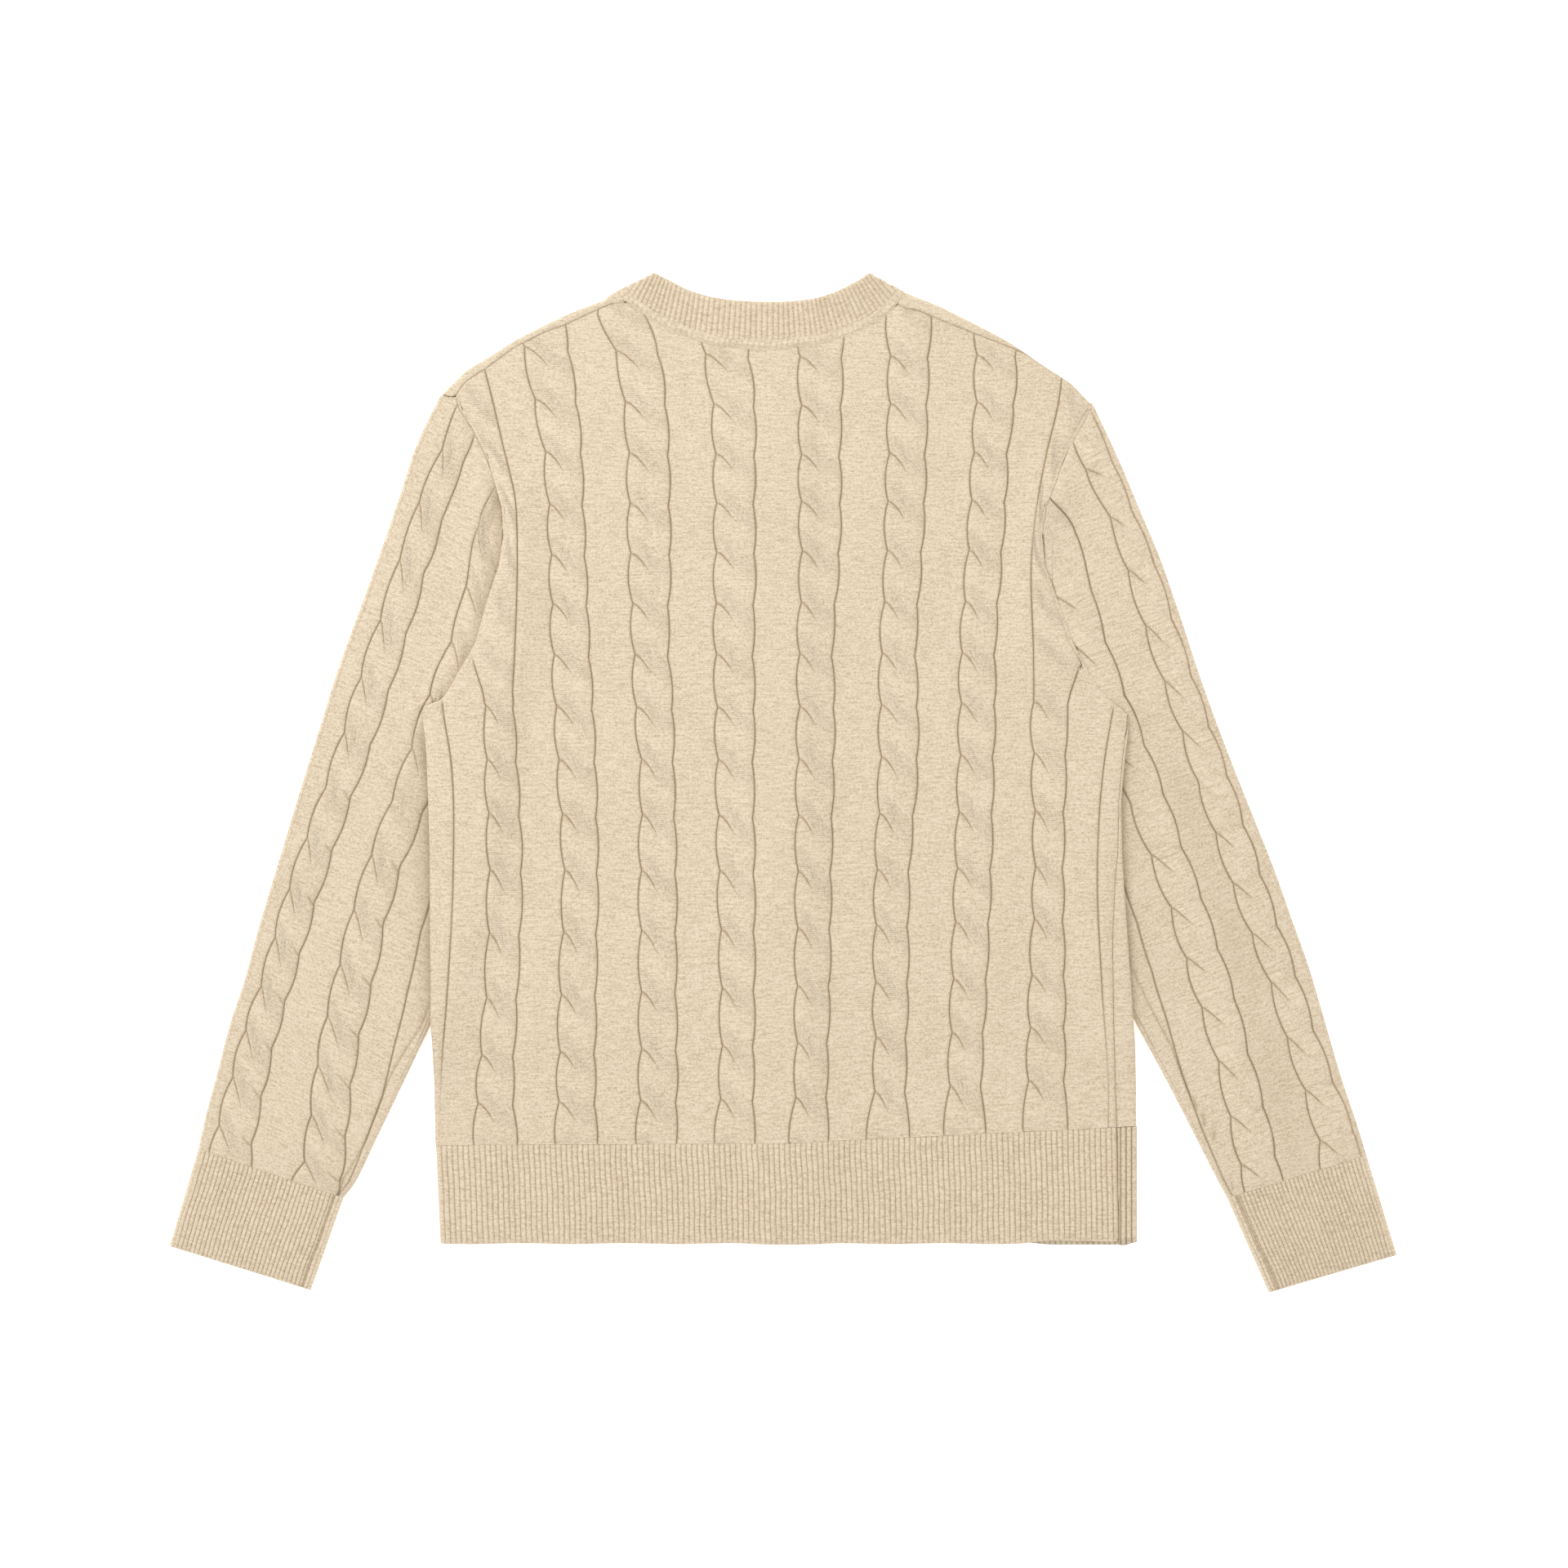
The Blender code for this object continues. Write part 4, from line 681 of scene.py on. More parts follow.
@dataclass
class Weaver:
    """Turns grids of points into closed knitted walls."""

    def weave(self, name: str, relief: Relief, step: int, tube: bool = False,
              crisp: bool = True) -> bpy.types.Object:
        """Closed wall with a fine outer face and a coarser inner one.

        Args:
            name: The piece's name.
            relief: Its points, stitch coordinates and shade.
            step: How many fine cells make one cell of the inner face.
            tube: Whether the first and last columns are one line.
            crisp: Whether the wall's rims are sharp edges.

        Returns:
            The piece, at the origin.
        """
        rows, cols = relief.shade.shape
        bm = bmesh.new()
        self._grid(bm, cols, rows, step, 0.0)
        if step > 1:
            cut = [edge for edge in bm.edges if edge.is_boundary]
            bmesh.ops.subdivide_edges(bm, edges=cut, cuts=step - 1)
        self._grid(bm, cols, rows, 1, 1.0)
        rim = [edge for edge in bm.edges if edge.is_boundary and edge.verts[0].co.z > 0.5]
        if tube:
            rim = [edge for edge in rim if abs(edge.verts[0].co.y - edge.verts[1].co.y) < 0.5]
        grown = bmesh.ops.extrude_edge_only(bm, edges=rim)["geom"]
        lower = [item for item in grown if isinstance(item, bmesh.types.BMVert)]
        bmesh.ops.translate(bm, verts=lower, vec=(0.0, 0.0, -1.0))
        below = [vert for vert in bm.verts if vert.co.z < 0.5]
        bmesh.ops.remove_doubles(bm, verts=below, dist=0.05)
        if crisp:
            for edge in bm.edges:
                heights = {round(vert.co.z) for face in edge.link_faces for vert in face.verts}
                own = {round(vert.co.z) for vert in edge.verts}
                edge.smooth = not (len(own) == 1 and len(heights) == 2)
        mesh = bpy.data.meshes.new(name)
        bm.to_mesh(mesh)
        bm.free()
        self._place(mesh, relief)
        bm = bmesh.new()
        bm.from_mesh(mesh)
        if tube:
            ends = [vert for vert in bm.verts if vert.is_boundary]
            bmesh.ops.remove_doubles(bm, verts=ends, dist=2e-6)
        bmesh.ops.triangulate(bm, faces=[face for face in bm.faces if len(face.verts) > 4])
        bmesh.ops.recalc_face_normals(bm, faces=bm.faces[:])
        bm.to_mesh(mesh)
        bm.free()
        mesh.polygons.foreach_set("use_smooth", np.ones(len(mesh.polygons), dtype=bool))
        piece = bpy.data.objects.new(name, mesh)
        bpy.context.scene.collection.objects.link(piece)
        return piece

    def _grid(self, bm: bmesh.types.BMesh, cols: int, rows: int, step: int, level: float) -> None:
        """Grid whose points stand at whole column and row numbers.

        Args:
            bm: The edit mesh that the grid is added to.
            cols: Columns of points in the finest grid.
            rows: Rows of points in it.
            step: How many of its cells make one cell here.
            level: Height given to every point.
        """
        made = bmesh.ops.create_grid(bm, x_segments=(cols - 1) // step,
                                     y_segments=(rows - 1) // step, size=0.5)["verts"]
        for vert in made:
            vert.co.x = (vert.co.x + 0.5) * (cols - 1)
            vert.co.y = (vert.co.y + 0.5) * (rows - 1)
            vert.co.z = level

    def _place(self, mesh: bpy.types.Mesh, relief: Relief) -> None:
        """Moves a mesh from column and row numbers to its place, with stitch coordinates.

        Args:
            mesh: The mesh to move.
            relief: Where its points belong.
        """
        count = len(mesh.vertices)
        flat = np.empty(count * 3, dtype=np.float32)
        mesh.vertices.foreach_get("co", flat)
        number = np.rint(flat.reshape(-1, 3)).astype(int)
        col, row = number[:, 0], number[:, 1]
        outside = (number[:, 2] > 0)[:, None]
        points = np.where(outside, relief.outer[row, col], relief.inner[row, col])
        mesh.vertices.foreach_set("co", points.astype(np.float32).ravel())
        # The painted shade goes into a point attribute that the wool material reads.
        shade = mesh.attributes.new("shade", "FLOAT", "POINT")
        shade.data.foreach_set("value", relief.shade[row, col].astype(np.float32))
        corner = np.empty(len(mesh.loops), dtype=np.int32)
        mesh.loops.foreach_get("vertex_index", corner)
        stitch = np.stack((relief.wale[row, col], relief.course[row, col]), axis=-1)[corner]
        mesh.uv_layers.new(name="knit").data.foreach_set("uv", stitch.astype(np.float32).ravel())


@dataclass
class BackPanel:
    """The back between shoulders, armholes, side seams and hem, with eight cables."""

    plan: BodyPlan
    cabling: Cabling
    row_steps: tuple = (0.0, 0.9, 2.0, 3.8, 6.4, 9.6, 13.2, 17.0, 20.8, 24.4, 27.6, 29.6, 31.4,
                        34.0, 37.4, 41.2, 45.0, 48.8, 52.6, 56.0, 58.8, 60.4, 61.3)
    step: int = 4

    def columns(self) -> tuple:
        """Band number, share across it and kind of every column.

        Returns:
            Band numbers, shares, and the kind of each band.
        """
        kinds = [Band.EDGE, Band.PLAIN] + [Band.CABLE, Band.PLAIN] * 8 + [Band.EDGE]
        bands, shares = [], []
        for number, kind in enumerate(kinds):
            if kind is Band.CABLE:
                across = graded(46.0, self.plan.cable_steps)
            elif kind is Band.PLAIN:
                across = graded(55.0, self.plan.plain_steps)
            else:
                across = [0.0, 0.04, 0.1, 0.3, 0.6, 0.88, 0.96]
            bands += [number] * len(across)
            shares += across
        bands.append(len(kinds) - 1)
        shares.append(1.0)
        keep = padded_count(list(range(len(bands))), self.step)
        return np.array(bands)[keep], np.array(shares)[keep], kinds

    def relief(self) -> Relief:
        """Points, stitches and shade of the panel.

        Returns:
            The grids of the panel.
        """
        bands, shares, kinds = self.columns()
        lags = [n + part / CROSSING for n in range(-2, 17) for part in self.row_steps]
        lags = padded_count([lag for lag in lags if -0.75 < lag < HEM_CROSSING], self.step)
        count = len(lags)
        row = np.arange(count)[:, None]
        cable = np.array([kinds[band] is Band.CABLE for band in bands])[None, :]
        edge = np.array([kinds[band] is Band.EDGE for band in bands])[None, :]
        q = 2.0 * shares[None, :] - 1.0
        full = float(self.plan.skew(np.array(1.0)))
        flat = np.where(edge, np.where(bands == 0, full, 0.0), full * (1.0 - shares))
        skew = np.where(cable, self.plan.skew(q), flat)
        lag = np.array(lags)[:, None] + skew
        px = np.full(lag.shape, MIDDLE_X)
        for _ in range(7):
            py = self.plan.course_y(lag, px)
            low = self.plan.course_y(HEM_CROSSING, px) - 0.06 - 0.05 * (count - 1 - row)
            high = column(BACK_TOP, 1, px) + 0.12 + 0.05 * row
            py = np.maximum(np.minimum(py, low), high)
            crossing = self.plan.crossing_at(px, py)
            left = column(EDGES, 1, py)
            right = np.where(py > 878.0, self.plan.side_seam(py), column(EDGES, 2, py)) - 0.1
            lines = self.plan.groove_lines(py, crossing, left, right)
            start, end = beside(lines, bands)
            px = start + (end - start) * shares[None, :]
        return self._dress(px, py, crossing, start, end, lines, bands, shares, cable)

    def _dress(self, px: np.ndarray, py: np.ndarray, crossing: np.ndarray, start: np.ndarray,
               end: np.ndarray, lines: np.ndarray, bands: np.ndarray, shares: np.ndarray,
               cable: np.ndarray) -> Relief:
        """Heights, stitches and shade of points already placed on the plan.

        Args:
            px: X of the points.
            py: Y of the points.
            crossing: Their crossing numbers.
            start: X of the line at the band's left.
            end: X of the line at its right.
            lines: X of all the panel's lines.
            bands: Band number of each column.
            shares: Share across the band of each column.
            cable: Whether a column lies on a cable.

        Returns:
            The grids of the panel.
        """
        q = 2.0 * shares[None, :] - 1.0
        width = end - start
        free = ease((width - 8.0) / 20.0)
        lag = crossing - self.plan.skew(q)
        whole = np.round(lag) > np.where(np.isin(bands, (2, 16)), 7.5, 0.5)[None, :]
        # The cable and plain relief bring painted shade in the grooves and crossings.
        rope, rope_shade = self.cabling.cable(q, lag, px - start, end - px, free * whole,
                                              0.35 * ease((py - 1100.0) / 200.0))
        rope = rope * free
        beside_start = np.where(bands[None, :] == 0, 99.0, px - start)
        beside_end = np.where(bands[None, :] == bands[-1], 99.0, end - px)
        flat, flat_shade = self.cabling.plain(np.minimum(beside_start, beside_end))
        height = np.where(cable, rope, flat)
        shade = np.where(cable, rope_shade, flat_shade)
        squeezed = ease((width - 3.0) / 12.0)
        height = height * (0.4 + 0.6 * squeezed)
        shade = shade * (0.35 + 0.65 * squeezed)
        nearest = np.where(px - start < end - px, start, end)
        inside = np.minimum(nearest - lines[..., 0], lines[..., -1] - nearest)
        gone = (1.0 - ease((inside - 4.0) / 11.0)) * bell(np.minimum(px - start, end - px) / 2.4)
        height = np.where(height < 0.0, height * (1.0 - gone), height)
        shade = shade * (1.0 - gone)
        seam = self.plan.course_y(HEM_CROSSING, px) - py
        height = sewn_down(height, seam)
        top = py - column(BACK_TOP, 1, px)
        height = height * (0.25 + 0.75 * ease(top / 9.0))
        side = np.minimum(px - lines[..., 0], lines[..., -1] - px)
        raised = ease((py - 630.0) / 30.0) * ease((ARMHOLE_Y - py) / 20.0)
        rounding = 0.0003 * bell(side / 1.6) + 0.0011 * raised * bell(side / 4.2)
        height = height - rounding - 0.0004 * bell((top - 0.1) / 1.8)
        # Dark lines along the armhole and right side seam edges and along the top seam: partly the
        # seams' own darker joints, partly painted shade in their valleys.
        armhole = np.where(px < 900.0, 0.45 * (1.0 - ease((py - 575.0) / 40.0)), 0.10)
        side_seam = 0.12 + 0.30 * ease((py - 1120.0) / 100.0) * (px > 1200.0)
        armhole = np.where(py > ARMHOLE_Y, side_seam, armhole)
        shade = np.maximum(shade, armhole * bell(side / 1.1))
        shade = np.maximum(shade, 0.32 * bell((top - 0.1) / 1.3))
        height = np.maximum(height, -0.0014)
        z = self.plan.back_floor(px, py) + WALL + height + sag(px, py)
        turn = np.floor(lag) + ease((lag % 1.0 - 0.5) / 0.5)
        rope_wale = (px - start) / 3.3 - 0.5 * WALES * turn
        plain_wale = (px - 0.5 * (start + end)) / 3.05
        wale = np.where(cable, rope_wale, plain_wale) + 40.0 * bands[None, :]
        outer = to_metres(px, py, z)
        inner = to_metres(px, py, self.plan.back_floor(px, py))
        return Relief(outer, inner, wale, crossing * COURSES_EACH, shade)


@dataclass
class Ribbing:
    """One-by-one rib: round ridges with narrow valleys at whole phases."""

    ridge: float = 0.0006
    valley: float = 0.0006
    phases: tuple = (0.0, 0.08, 0.17, 0.32, 0.5, 0.68, 0.83, 0.92)

    def stations(self, ribs: int) -> np.ndarray:
        """Phases of all columns across a number of ribs."""
        return np.array([rib + part for rib in range(ribs) for part in self.phases] + [ribs], float)

    def relief(self, phase: np.ndarray) -> tuple:
        """Height in metres above the plain knit and painted shade in the valleys at a phase.

        Args:
            phase: Rib number of the points, whole in the valleys.

        Returns:
            Heights and shades.
        """
        away = np.abs(phase - np.round(phase))
        height = self.ridge * (np.sin(np.pi * away) ** 0.8 - 0.25) - self.valley * bell(away / 0.11)
        return height, 0.46 * bell(away / 0.11)

    def pressed(self, phase: np.ndarray) -> tuple:
        """Depth of the valleys under ribs that rest flat, and painted shade in them."""
        away = np.abs(phase - np.round(phase))
        return 0.0008 * bell(away / 0.16), 0.8 * bell(away / 0.16)


@dataclass
class BackHem:
    """Ribbed hem of the back."""

    plan: BodyPlan
    ribbing: Ribbing
    ribs: int = 125
    rows: int = 24
    left_edge: tuple = (533.5, 5.5)     # x at the top and how much further in at the foot
    right_edge: tuple = (1367.9, 2.7)
    foot_y: float = 1523.2
    raised: float = 3.4                 # how much higher the foot's right end lies

    def relief(self) -> Relief:
        """Points, stitches and shade of the hem.

        Returns:
            The grids of the hem.
        """
        phase = self.ribbing.stations(self.ribs)[None, :]
        down = (np.arange(self.rows + 1) / self.rows)[:, None]
        left = self.left_edge[0] + self.left_edge[1] * down
        right = self.right_edge[0] + self.right_edge[1] * down
        free = np.sin(np.pi * np.clip(phase / self.ribs, 0.0, 1.0)) ** 0.3
        px = left + (right - left) * phase / self.ribs
        top = self.plan.course_y(HEM_CROSSING, px) + 0.06
        foot = self.foot_y - self.raised * ease((px - FOOT_STEP_X) / 45.0)
        foot = foot + 0.6 * np.sin(phase / 3.1)
        py = top + (foot - top) * down
        px = px + wander(phase, py) * free * ease((py - top) / 12.0)
        height, shade = self.ribbing.relief(phase)
        near_foot = foot - py
        height = height * (0.45 + 0.55 * ease(near_foot / 7.0)) * ease((py - top + 1.0) / 5.0)
        height = height - 0.0009 * bell(near_foot / 2.2) - 0.0004 * bell((py - top) / 2.2)
        side = np.minimum(px - left, right - px)
        height = height - 0.0009 * bell(side / 2.2)
        z = self.plan.back_floor(px, py) + WALL + height
        # Painted shade in the rib valleys, fainter towards the foot.
        shade = shade * (0.6 + 0.4 * ease(near_foot / 4))
        return Relief(to_metres(px, py, z), to_metres(px, py, self.plan.back_floor(px, py)),
                      2.0 * phase, (py - HEM_TOP_Y) / ROW_STEP, shade)


@dataclass
class FrontPanel:
    """One front: flat under the body, its shoulder (and the right side) folded onto the back."""

    plan: BodyPlan
    side: Side
    strip: tuple = (0.0, 0.03, 0.08, 0.15, 0.25, 0.38, 0.52, 0.68, 0.84, 1.0)
    edge_steps: tuple = (0.0, 0.04, 0.1, 0.2, 0.35, 0.55, 0.78)
    band_steps: tuple = (0.0, 0.05, 0.13, 0.28, 0.5, 0.72, 0.87, 0.95)

    def top_line(self, px: np.ndarray) -> np.ndarray:
        """Y of the shoulder fold and neck curve.

        Args:
            px: X along the panel.

        Returns:
            Y of its upper edge.
        """
        neck = np.array(NECK_FRONT[1:])
        if self.side is Side.LEFT:
            points = np.concatenate((np.array(LEFT_FOLD), neck[:, :2]))
        else:
            over = neck[::-1, :2].copy()
            over[:, 0] = np.minimum(2.0 * self.plan.axis_x(over[:, 1]) - over[:, 0], 1109.0)
            points = np.concatenate((over, np.array(RIGHT_FOLD)))
        return np.interp(px, points[:, 0], points[:, 1]) + 0.3

    def fold_line(self) -> tuple:
        """Shoulder fold carried on along the neckband's fold.

        Returns:
            The line's corners, x and y.
        """
        if self.side is Side.LEFT:
            return LEFT_FOLD + (NECK_FOLDS[0][2:],)
        return (NECK_FOLDS[1][2:],) + RIGHT_FOLD

    def shoulder_width(self, px: np.ndarray) -> np.ndarray:
        """Depth of the strip that the shoulder brings onto the back.

        Args:
            px: X along the shoulder.

        Returns:
            The depth, 0 where there is no strip.
        """
        seam = column(BACK_TOP, 1, px)
        if self.side is Side.LEFT:
            seam = np.where(px < 558.0, column(LEFT_HEAD, 1, px), seam)
            reach = np.where(px < 765.0, 1.0, 0.0)
        else:
            reach = np.where(px > 1099.0, 1.0, 0.0) * ease((1262.0 - px) / 20.0)
        return np.maximum(seam - 0.12 - self.strip_top(px), 0.0) * reach

    def strip_top(self, px: np.ndarray) -> np.ndarray:
        """Y of the strip's upper edge: the fold, then the neckband's seam.

        Args:
            px: X along the shoulder.

        Returns:
            Y of that edge.
        """
        seam = column(NECK_SEAM, 1, px) + 0.12
        own = px < 752.0 if self.side is Side.LEFT else px > 1110.0
        return np.where(own, self.top_line(px), seam)

    def side_width(self, py: np.ndarray) -> np.ndarray:
        """Width of the strip that the right side brings onto the back.

        Args:
            py: Y down the side.

        Returns:
            The width, 0 where there is no strip.
        """
        if self.side is Side.LEFT:
            return np.zeros(np.shape(py))
        wide = column(EDGES, 2, py) - self.plan.side_seam(py) - 0.9
        return np.maximum(wide, 0.0) * ease((py - 886.0) / 20.0)

    def lines(self, py: np.ndarray, crossing: np.ndarray) -> np.ndarray:
        """X of the panel's edges and grooves, from left to right.

        Args:
            py: Y of the points.
            crossing: Their crossing numbers.

        Returns:
            The lines' x in the last axis.
        """
        body = self.plan.groove_lines(py, crossing, column(EDGES, 1, py) + 0.3,
                                      column(EDGES, 2, py) - 0.5)
        if self.side is Side.LEFT:
            corner = np.interp(py, (482.9, 486.5), (541.3, 552.0))
            left = np.where(py < 486.5, corner, np.maximum(column(EDGES, 1, py) + 0.3, 552.0))
            right = self.plan.axis_x(py) - BAND_HALF - 0.6
            inner = np.clip(body[..., 1:9], (left + 1.0)[..., None], (right - 6.0)[..., None])
            return np.concatenate((left[..., None], inner, right[..., None]), axis=-1)
        left = self.plan.axis_x(py) + BAND_HALF + 0.6
        right = column(EDGES, 2, py) - 0.5
        fold = self.side_width(py)
        inner = np.clip(body[..., 10:19], (left + 6.0)[..., None], (right - fold - 1.0)[..., None])
        ends = np.stack((right - fold - 0.35, right - fold, right), axis=-1)
        return np.concatenate((left[..., None], inner, ends), axis=-1)

    def columns(self) -> tuple:
        """Columns of the panel, close together at the neck's steep part and at the side's fold.

        Returns:
            Band number of each column and its share across that band.
        """
        left = self.side is Side.LEFT
        last = 8 if left else 11
        steps = {band: self.band_steps for band in range(last + 1)}
        steps[6 if left else 3] = tuple(np.linspace(0.0, 1.0, 33)[:-1])
        if not left:
            steps[last - 1] = (0.0,)
            steps[last] = (0.0,) + tuple(1.0 - part for part in self.edge_steps[:0:-1])
        bands = [band for band in steps for _ in steps[band]] + [last]
        shares = [part for band in steps for part in steps[band]] + [1.0]
        return np.array(bands), np.array(shares)

    def relief(self) -> Relief:
        """Points, stitches and shade; the knit's face is underneath.

        Returns:
            The grids of the panel.
        """
        bands, shares = self.columns()
        strip_rows = len(self.strip)
        level = np.concatenate((np.full(strip_rows + 1, 300.0), np.arange(340.0, 620.0, 4.0),
                                np.arange(620.0, 1392.0, 8.0), (1410.0,)))[:, None]
        total = len(level)
        order = np.arange(total)[:, None]
        on_strip = order < strip_rows
        down = np.concatenate((self.strip, np.ones(total - strip_rows)))[:, None]
        px = np.full((total, len(bands)), 700.0 if self.side is Side.LEFT else 1200.0)
        for _ in range(7):
            wide = self.shoulder_width(px)
            strip_top, top_line = self.strip_top(px), self.top_line(px)
            top = np.where(on_strip & (wide > 0.0), strip_top, top_line)
            extra = np.where(on_strip, 0.0, 0.35 + 0.02 * (order - strip_rows))
            own = np.where(strip_top == top_line, wide, 0.0)
            py = top + np.where(on_strip, wide * down, own)
            py = np.maximum(level, py + extra + 0.002 * order)
            foot = self.plan.course_y(HEM_CROSSING, px) - 0.4 - 0.05 * (total - 1 - order)
            py = np.minimum(py, foot)
            crossing = self.plan.crossing_at(px, py)
            lines = self.lines(py, crossing)
            start, end = beside(lines, bands)
            px = start + (end - start) * shares[None, :]
        folded = np.where(on_strip, ease(wide / 4.0), 0.0)
        last = (bands == bands[-1])[None, :] & (self.side is Side.RIGHT)
        near = np.where(last, 9.0, np.minimum(px - start, end - px))
        under, over, shade = self._walls(px, py, lines[..., -1], last, near, wide, folded,
                                         py - top - wide)
        return Relief(to_metres(px, py, under), to_metres(px, py, over), px / 3.0,
                      crossing * COURSES_EACH, shade)

    def _walls(self, px: np.ndarray, py: np.ndarray, right: np.ndarray, last: np.ndarray,
               near: np.ndarray, wide: np.ndarray, folded: np.ndarray,
               past: np.ndarray) -> tuple:
        """Walls of the panel, curled over at its shoulder and at the right side.

        Args:
            px: X of the points.
            py: Y of the points.
            right: X of the panel's right edge beside them.
            last: Whether a column lies in the band beside the side's fold.
            near: Distance from the nearest groove.
            wide: Depth of the shoulder's strip.
            folded: 1 where a point belongs to that strip.
            past: Distance past the strip's seam.

        Returns:
            Heights of the face and of the inside, and the shade.
        """
        side_wide = self.side_width(py)
        lifted = np.maximum(folded, np.where(last, ease(side_wide / 4.0), 0.0))
        from_top = line_distance(px, py, self.fold_line()) * GRID * 0.95
        curl = CURL_SHARE * np.maximum(fold_curl(from_top) * ease(wide / 4.0),
                                       fold_curl((right - px) * GRID) * ease(side_wide / 4.0))
        floor = self.plan.front_floor(px, py)
        beyond = (self.strip_top(px) != self.top_line(px)) & (folded > 0.0)
        under = floor + np.maximum(curl, 0.0006 * bell(near / 1.6))
        under = np.where(beyond, BACK_Z, under)
        seam = bell(past / 1.5) * (folded > 0.0)
        over = floor + WALL + (WALL + AIR) * lifted - curl * (lifted > 0.5) - 0.0005 * lifted * seam
        # Painted shade in the underside's grooves; along the strip's seam a dark line, partly the
        # seam's own darker joint, partly painted shade in its valley.
        shade = np.maximum(0.5 * bell(near / 1.5) * (1.0 - lifted), 0.32 * lifted * seam)
        return under, over, shade


@dataclass
class FrontHem:
    """Ribbed hem of one front; the right one shows where its side is folded onto the back."""

    plan: BodyPlan
    ribbing: Ribbing
    side: Side
    ribs: int = 60
    rows: int = 12
    left_edge: tuple = (533.3, 6.0)     # x at the top and how much further in at the foot
    foot_y: float = 1521.4
    corner_x: float = 1376.0            # x where the right hem's foot turns up to its corner

    def relief(self) -> Relief:
        """Points, stitches and shade; the knit's face is underneath.

        Returns:
            The grids of the hem.
        """
        down = (np.arange(self.rows + 1) / self.rows)[:, None]
        middle_y = 1400.0 + 122.0 * down
        reach = BAND_HALF + 0.6
        if self.side is Side.LEFT:
            left = self.left_edge[0] + self.left_edge[1] * down
            right = self.plan.axis_x(middle_y) - reach
            fold = np.zeros(down.shape)
        else:
            left = self.plan.axis_x(middle_y) + reach
            right = column(EDGES, 2, middle_y) - 0.5
            fold = right - self.plan.side_seam(middle_y) - 0.4
        phase = self.ribbing.stations(self.ribs)[None, :]
        px = left + (right - left) * phase / self.ribs
        top = self.plan.course_y(HEM_CROSSING, px) + 0.4
        drop = 3.4 * ease((px - FOOT_STEP_X) / 45.0) - 3.6 * ease((px - self.corner_x) / 16.0)
        py = top + (self.foot_y + drop * (self.side is Side.RIGHT) - top) * down
        on_back = (px > right - fold + 0.01) & (fold > 1.0)
        curl = CURL_SHARE * fold_curl((right - px) * GRID) * (fold > 1.0)
        floor = self.plan.front_floor(px, py)
        # Painted shade in the pressed rib valleys.
        depth, shade = self.ribbing.pressed(phase)
        ridges, _ = self.ribbing.relief(phase)
        under = floor + np.maximum(curl, depth * (1.0 - ease(curl / 0.0006)))
        folded = WALL + AIR - curl + ridges * (1.0 - ease(curl / 0.002))
        over = floor + WALL + np.where(on_back, folded, 0.0)
        return Relief(to_metres(px, py, under), to_metres(px, py, over), 2.0 * phase,
                      (py - HEM_TOP_Y) / ROW_STEP, shade)


@dataclass
class TubeSection:
    """Section of a flattened tube: two round folds joined by a top and a resting underside."""

    angles: tuple = (-90.0, -60.0, -35.0, -12.0, 12.0, 35.0, 60.0, 90.0)

    def fold(self, angle: np.ndarray, radius: float) -> tuple:
        """Distance in from the fold's line and height, at a turn of a radius."""
        turn = np.radians(angle)
        return MID_Z - radius * np.cos(turn), MID_Z + radius * np.sin(turn)


